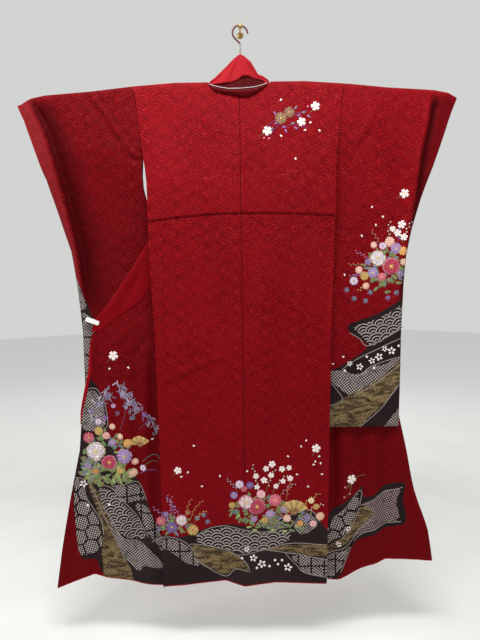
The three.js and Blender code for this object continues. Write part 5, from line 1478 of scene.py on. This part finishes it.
for a, b, r, c, e in ((390, 242, 5.2, PINK, CREAM), (396.5, 248.5, 5.6, PURPLE, LILAC), (403, 251, 4.6, YELLOW, ORANGE), (374, 245, 3.4, PINK, CREAM), (373, 273, 5.6, PURPLE, LILAC), (364.5, 276, 4.8, YELLOW, OCHRE),
                      (359, 270, 3.8, PINK, CREAM), (354, 281, 4.4, WHITE, LILAC), (383, 246, 3.8, WHITE, LILAC), (368, 262, 3.6, LILAC, VIOLET), (382, 277, 4.4, ROSE, PINK), (401, 274, 3.8, LILAC, VIOLET),
                      (366, 286, 3.6, ROSE, CREAM), (404, 262, 3.6, PINK, CREAM)):
    m.mum(a, b, r, c, e, YELLOW, 2 if r < 4.2 else 3, 9 if r < 4.2 else 12)
leaves(m, ((384, 285, 16), (392, 281, -20), (376, 289, 40), (399, 283, 0), (388, 292, 10)), GREEN, 22, 10)
for a, b, t, c in ((371, 292, 3.6, BLUEGREY), (355, 298, 3.9, BLUEGREY), (366, 300, 4.3, BLUEGREY), (388, 297, 5.0, PURPLE), (396, 292, 5.4, BLUEGREY), (348, 290, 3.2, BLUEGREY)):
    m.maple(a, b, 4.2, c, t)
for a, b, r in ((404.6, 193.6, 4.8), (402, 224.5, 4.3), (398, 233, 4.0), (404, 237, 3.8), (393, 229, 3.2)):
    m.blossom(a, b, r)
for a, b in ((382.8, 216.7), (376, 225), (343.5, 357), (333, 364), (362, 236), (345, 275), (372, 207)):
    m.loose(a, b)
for pts in ([(343.5, 369), (356, 360), (376, 350), (402, 338)], [(400, 384), (389, 399), (379, 411), (360, 428)], [(350, 333), (360, 339), (367, 346), (386, 338), (404, 327)],
            [(342, 369), (354, 376), (364, 374), (372, 366), (400, 357)], [(354, 397), (369, 388), (386, 376), (402, 364)], [(331, 383), (343, 400), (330, 406)]):
    m.cloud(pts)
for a, b, r in ((379, 357, 4), (360, 367, 3.6), (392, 351, 4), (372, 361, 3.2), (385, 349, 3.0), (350, 364, 2.8)):
    m.plum(a, b, r)
for a, b in ((367, 357), (399, 346), (374, 368), (345, 371)):
    m.dot(a, b, 1.3)
m.build(())

# ------------------------------------------------------------------------------- right front
flap_right = lambda x, z: flap_y(1, x, z)
m = Motifs("motif_right_front", flap_right, -44.0)
m.strip([(366, 475), (358, 478), (352, 484), (346, 489)], 1.4, OLIVE)
m.strip([(352, 484), (350, 492), (344, 498)], 1.2, OLIVE)
m.blossom(352, 480, 5.4)
for a, b in ((345, 487), (344, 497), (350, 494)):
    m.dot(a, b, 1.0, PINK)
for pts in ([(361, 506), (372, 499), (386, 492), (403, 487)], [(326, 552), (337, 549), (350, 541), (359, 531), (370, 518)], [(333, 519), (345, 508), (361, 491), (360, 506), (355, 521), (341, 537)],
            [(328, 554), (340, 551), (350, 546), (345, 557), (340, 570)], [(400, 520), (381, 524), (366, 531), (354, 541)]):
    m.cloud(pts)
for a, b, r in ((338, 543, 3), (348, 528, 3)):
    m.plum(a, b, r)
m.build(())

# =====================================================================================
# rolled hem, neck, hanger and clip
# =====================================================================================
def tube(name, pts, radius, mat, replaces, n=10, squash=None):
    """a closed round rod along pts (mm), with rounded ends"""
    P = np.array(pts, float)
    d = np.gradient(P, axis=0)
    d /= np.linalg.norm(d, axis=1)[:, None]
    ref = np.array([0.0, 1.0, 0.0])
    verts, rings = [], []
    R = np.full(len(P), float(radius)) if np.isscalar(radius) else np.asarray(radius, float)
    ends = [(0, -0.55, 0.62), (0, -0.25, 0.9)]
    seq = [(P[0] + d[0] * R[0] * k, d[0], R[0] * r) for _, k, r in ends] + [(P[i], d[i], R[i]) for i in range(len(P))] + [(P[-1] - d[-1] * R[-1] * k, d[-1], R[-1] * r) for _, k, r in reversed(ends)]
    for c, t, r in seq:
        a = np.cross(t, ref)
        if np.linalg.norm(a) < 1e-3:
            a = np.cross(t, np.array([1.0, 0.0, 0.0]))
        a /= np.linalg.norm(a)
        b = np.cross(t, a)
        verts += [c + r * (math.cos(2 * math.pi * k / n) * a + math.sin(2 * math.pi * k / n) * b) for k in range(n)]
    m = len(seq)
    faces = [(j * n + k, j * n + (k + 1) % n, (j + 1) * n + (k + 1) % n, (j + 1) * n + k) for j in range(m - 1) for k in range(n)]
    faces += [tuple(reversed(range(n))), tuple((m - 1) * n + k for k in range(n))]
    ob = new_object(name, verts, faces, [mat], None, True, None, replaces)
    fix_normals(ob)
    return ob


# red lining rolled a little past each hem
hem = []
for X in np.linspace(-276, 270, 60):
    z = -1812.0 + float(back_off(np.array(X), np.array(-1812.0)))
    hem.append((X, float(back_y(np.array([X]), np.array([z]))[0]) + 0.5, z - 1.3))
tube("hem_back_roll", hem, 1.7, M_LINING, ["hem_roll_back"], 8)
for side, nm in ((-1, "left"), (1, "right")):
    low = []
    for X in np.linspace(flap_line(side, -1812, "fold") + 6, flap_line(side, -1812, "e") - 1.5, 40):
        x, z = real(side, X, -1812.0)
        low.append((x, float(flap_y(side, np.array([x]), np.array([z]))[0]) + 0.6, z - 1.3))
    tube("hem_front_" + nm + "_roll", low, 1.7, M_LINING, ["hem_roll_front_" + nm], 8)
edge = []
for q in np.linspace(-966, -1250, 30):
    x, z = real(-1, flap_line(-1, q, "e"), q)
    edge.append((x - 1.6, float(flap_y(-1, np.array([x + 1.0]), np.array([z]))[0]) + 0.8, z))
tube("edge_roll", edge, [1.2 + 5.2 * math.sin(math.pi * k / 29) for k in range(30)], M_LINING, ["edge_roll_left"], 8)

# neck: band across the back, its pale piping, and the inner collar pulled up in pleats to the hanger's stem
PIPE = [spot(a, b, -78.0) for a, b in ((208.8, 83.2), (214, 85.2), (220, 87.0), (228.7, 88.6), (241.3, 88.4), (254.5, 86.8), (262, 84.4), (267.7, 81.8))]
LOW = [spot(a, b, -78.0) for a, b in ((209.5, 85.5), (214.4, 90.6), (227.6, 92.2), (239, 94.4), (247.6, 95.2), (257.4, 91.2), (263, 87.4), (268.2, 83.4))]
pipe_z = lambda x: float(np.interp(x, [p[0] for p in PIPE], [p[1] for p in PIPE]))
low_z_at = lambda x: float(np.interp(x, [p[0] for p in LOW], [p[1] for p in LOW]))
x_l, x_r = PIPE[0][0], PIPE[-1][0]
# painted shadow: the back neck band is the figured silk darkened to 40 percent, for the shade it lies in below the
# piping
M_BAND = silk("silk_band", painted_shade_scale=0.40)
SILK_SET.append(M_BAND)


def band(u, v):
    x = x_l + (x_r - x_l) * u
    y = -77.5 + 9.0 * (2 * u - 1) ** 2
    return (x, y - 3.2 * math.sin(math.pi * min(v * 1.1, 1.0)) + 2.0 * (1 - v), low_z_at(x) - 3.0 + (pipe_z(x) - low_z_at(x) + 3.0) * v)


grid_wall("collar_back_band", list(np.linspace(0, 1, 40)), list(np.linspace(0, 1, 8)), band, 1.0, -1, [M_BAND], ["collar_back"])


def piping_material():
    g = Graph("piping_white")
    n = g.noise(300, 2)
    g.color(g.mix(n, (0.42, 0.38, 0.37), (0.60, 0.55, 0.54)))
    g.set(Roughness=n * 0.2 + 0.5)
    g.bump(n, 0.2, 0.0004)
    return g.mat


M_PIPE = piping_material()
tube("piping", [(x, -78.0 + 9.0 * (2 * (x - x_l) / (x_r - x_l) - 1) ** 2 - 0.5, pipe_z(x) + 0.6) for x in np.linspace(x_l + 2, x_r - 2, 40)], 0.95, M_PIPE, ["collar_piping"], 8)

# the drawn-up collar: crest at the stem, shoulders that fall to both ends of the piping, six soft pleats
TOPL = [spot(a, b, -66.0) for a, b in ((208.6, 82.6), (211.5, 79.8), (215, 77.6), (222, 70.6), (229, 63.8), (235, 57.6), (238.6, 54.8), (240.4, 54.2), (243.5, 55.6), (247, 58.6), (250.8, 61.6), (254.5, 68.0),
                                 (258.0, 74.2), (263, 75.8), (268.4, 79.4), (269.4, 81.6))]
tx, tz = [p[0] for p in TOPL], [p[1] for p in TOPL]
APEX = TOPL[7]


LIP = [spot(a, b, -72.0) for a, b in ((208.6, 83.4), (216, 83.0), (226, 82.4), (236, 80.0), (242.5, 76.0), (247.5, 75.0), (258, 78.0), (263.5, 79.4), (266.5, 84.0), (270, 90.0))]
lip_z = lambda x: float(np.interp(x, [p[0] for p in LIP], [p[1] for p in LIP]))


def peak(u, v):
    """u runs once round (0 at the left end, camera side first), v from the base up to the crest line"""
    camera = u < 0.5
    s_ = (u * 2 if camera else 2 - u * 2)
    x = tx[0] + (tx[-1] - tx[0]) * s_
    top = float(np.interp(x, tx, tz))
    base = pipe_z(x) - 13.0
    z = base + (top - base) * v
    bulge = math.sin(math.pi * min(max(s_, 0), 1)) ** 0.5
    # pleats run from the apex down and outwards
    ang = math.atan2(x - APEX[0], (APEX[1] + 10 - z) + 1e-6)
    pl = 2.6 * math.sin(ang * 9.0 + 0.6) * math.sin(math.pi * min(v * 1.15, 1)) ** 0.6 + 1.2 * math.sin(ang * 23.0)
    lip = 3.0 * math.exp(-((v - 0.92) / 0.10) ** 2) * (1 if s_ > 0.62 or s_ < 0.2 else 0)
    if camera:
        hid = float(smooth((lip_z(x) - z) / 4.0))
        y = -60 - bulge * (20.5 - 14 * v) - pl * bulge * (1 - 0.2 * v) * (1 - 0.7 * hid) - lip
        y += 5.0 * bulge * hid
        y = min(y, -60.5)
    else:
        y = -60 + bulge * (15 - 10 * v) + 0.5 * pl
        y = max(y, -59.5)
    return (x, y, z)


# the lining red, with painted shadow below the lip line of the drawn-up collar
M_PEAK = silk("silk_peak", base=(0.31, 0.010, 0.016), figured=False, shade=LIP)
nu, nv = 160, 44
verts = [peak(k / nu, j / (nv - 1)) for j in range(nv) for k in range(nu)]
inner_v = [peak(k / nu, j / (nv - 1)) for j in range(nv) for k in range(nu)]
cx0 = (tx[0] + tx[-1]) / 2
inner_v = [(x * 0.985 + cx0 * 0.015, -60 + (y + 60) * 0.86, z - 1.0) for x, y, z in inner_v]
o = len(verts)
faces = [(j * nu + k, j * nu + (k + 1) % nu, (j + 1) * nu + (k + 1) % nu, (j + 1) * nu + k) for j in range(nv - 1) for k in range(nu)]
faces += [(o + a, o + d, o + c, o + b) for a, b, c, d in faces]
faces += [(k, o + k, o + (k + 1) % nu, (k + 1) % nu) for k in range(nu)]
t0 = (nv - 1) * nu
faces += [(t0 + k, t0 + (k + 1) % nu, o + t0 + (k + 1) % nu, o + t0 + k) for k in range(nu)]
pk = new_object("inner_collar_peak", verts + inner_v, faces, [M_PEAK], None, True, None, ["collar_peak"])
fix_normals(pk)

# hardware keeps the CAD's own shape and takes finishes
M_ROD = metal("rod_lacquer", (0.012, 0.008, 0.007), 0.52, (0.022, 0.016, 0.014), 0.0, 0.0)
for n_ in M_ROD.node_tree.nodes:
    if n_.type == "BSDF_PRINCIPLED":
        n_.inputs["Specular IOR Level"].default_value = 0.12
M_STEM = metal("stem_steel", (0.30, 0.27, 0.25), 0.34, (0.20, 0.17, 0.16))
M_COPPER = metal("hook_copper", (0.125, 0.045, 0.040), 0.38, (0.060, 0.025, 0.024), 0.7)
M_BRASS = metal("wall_hook_brass", (0.46, 0.31, 0.11), 0.30, (0.22, 0.15, 0.06))


def clip_material():
    g = Graph("clip_white")
    n = g.noise(200, 2)
    g.color(g.mix(n, (0.66, 0.66, 0.64), (0.78, 0.78, 0.76)))
    g.set(Roughness=n * 0.1 + 0.38)
    g.bump(n, 0.1, 0.0003)
    return g.mat


M_CLIP = clip_material()
for node, mat in (("hanger_arm_left", M_ROD), ("hanger_arm_right", M_ROD), ("hanger_hub", M_ROD), ("hanger_stem", M_STEM), ("hanger_hook", M_COPPER), ("display_clip", M_CLIP)):
    for sl in NODES[node].material_slots:
        sl.material = mat



def turned_knob(name, profile, centre, n=28):
    """a solid of revolution about y; profile: (y, radius) from the wall outwards, closed at both ends"""
    verts = [(centre[0] + r * math.cos(2 * math.pi * k / n), y, centre[1] + r * math.sin(2 * math.pi * k / n)) for y, r in profile for k in range(n)]
    m = len(profile)
    faces = [(j * n + k, j * n + (k + 1) % n, (j + 1) * n + (k + 1) % n, (j + 1) * n + k) for j in range(m - 1) for k in range(n)]
    faces += [tuple(range(n)), tuple((m - 1) * n + k for k in range(n))]
    return verts, faces


wv, wf = [], []
for prof, c in (([(0.0, 10.5), (-2.5, 10.5), (-4.0, 9.4), (-5.5, 6.0), (-7.0, 4.6), (-8.0, 4.4)], (5, -9)),
                ([(-72.0, 3.4), (-73.5, 5.6), (-76.0, 7.4), (-79.0, 8.2), (-82.0, 7.4), (-84.5, 5.2), (-85.8, 2.0)], (5, -17.5))):
    v_, f_ = turned_knob("", prof, c)
    wf += [tuple(i + len(wv) for i in f) for f in f_]
    wv += v_
whook = new_object("wall_hook_plate_knob", wv, wf, [M_BRASS], None, True, None, ["wall_hook"])
fix_normals(whook)
tube("wall_hook_neck", [(5, -6, -9), (5, -20, -9.8), (5, -34, -11.5), (5, -48, -13.6), (5, -60, -14.4), (5, -68, -15.4), (5, -75, -17.0)], 3.6, M_BRASS, (), 14)

# =====================================================================================
# lights, floor, surroundings
# =====================================================================================
def stage():
    me = bpy.data.meshes.new("floor")
    z = -2.03
    n, R = 64, 9.0
    vs = [(0, 0, z)] + [(R * math.cos(2 * math.pi * k / n), R * math.sin(2 * math.pi * k / n), z) for k in range(n)]
    me.from_pydata(vs, [], [(0, 1 + k, 1 + (k + 1) % n) for k in range(n)])
    ob = bpy.data.objects.new("floor", me)
    SCENE.collection.objects.link(ob)
    g = Graph("floor_pale")
    b = g.noise(3, 4)
    near = g.mix(b.ramp(0.3, 0.7), (0.64, 0.64, 0.62), (0.68, 0.68, 0.66))
    x, y, _ = g.place()
    g.color(g.mix((x * x + y * y).sqrt().ramp(1400.0, 4200.0), near, (0.83, 0.83, 0.82)))
    g.set(Roughness=0.7)
    me.materials.append(g.mat)
    w = bpy.data.worlds.new("studio")
    w.use_nodes = True
    bg = w.node_tree.nodes["Background"]
    bg.inputs[0].default_value = (0.83, 0.84, 0.825, 1)
    bg.inputs[1].default_value = 0.78
    SCENE.world = w

    def area(name, loc, aim, size, power, color=(1, 1, 1)):
        L = bpy.data.lights.new(name, "AREA")
        L.shape, L.size, L.size_y = "RECTANGLE", size[0], size[1]
        L.energy, L.color = power, color
        o = bpy.data.objects.new(name, L)
        SCENE.collection.objects.link(o)
        o.location = loc
        o.rotation_mode = "QUATERNION"
        o.rotation_quaternion = (Vector(aim) - Vector(loc)).to_track_quat("-Z", "Y")

    area("top_soft", (-0.1, -1.15, 1.15), (0, -0.1, -0.5), (1.5, 0.5), 66)
    area("left_soft", (-2.3, -0.62, 0.35), (-0.2, -0.08, -0.5), (0.5, 1.0), 22)
    area("right_soft", (2.6, -1.5, 0.4), (0, -0.1, -0.9), (1.2, 2.2), 4)
    area("back_soft", (0.3, 2.6, 0.6), (0, 0, -0.9), (2.2, 2.0), 34)
    SCENE.view_settings.view_transform = "Standard"
    SCENE.view_settings.look = "None"


stage()
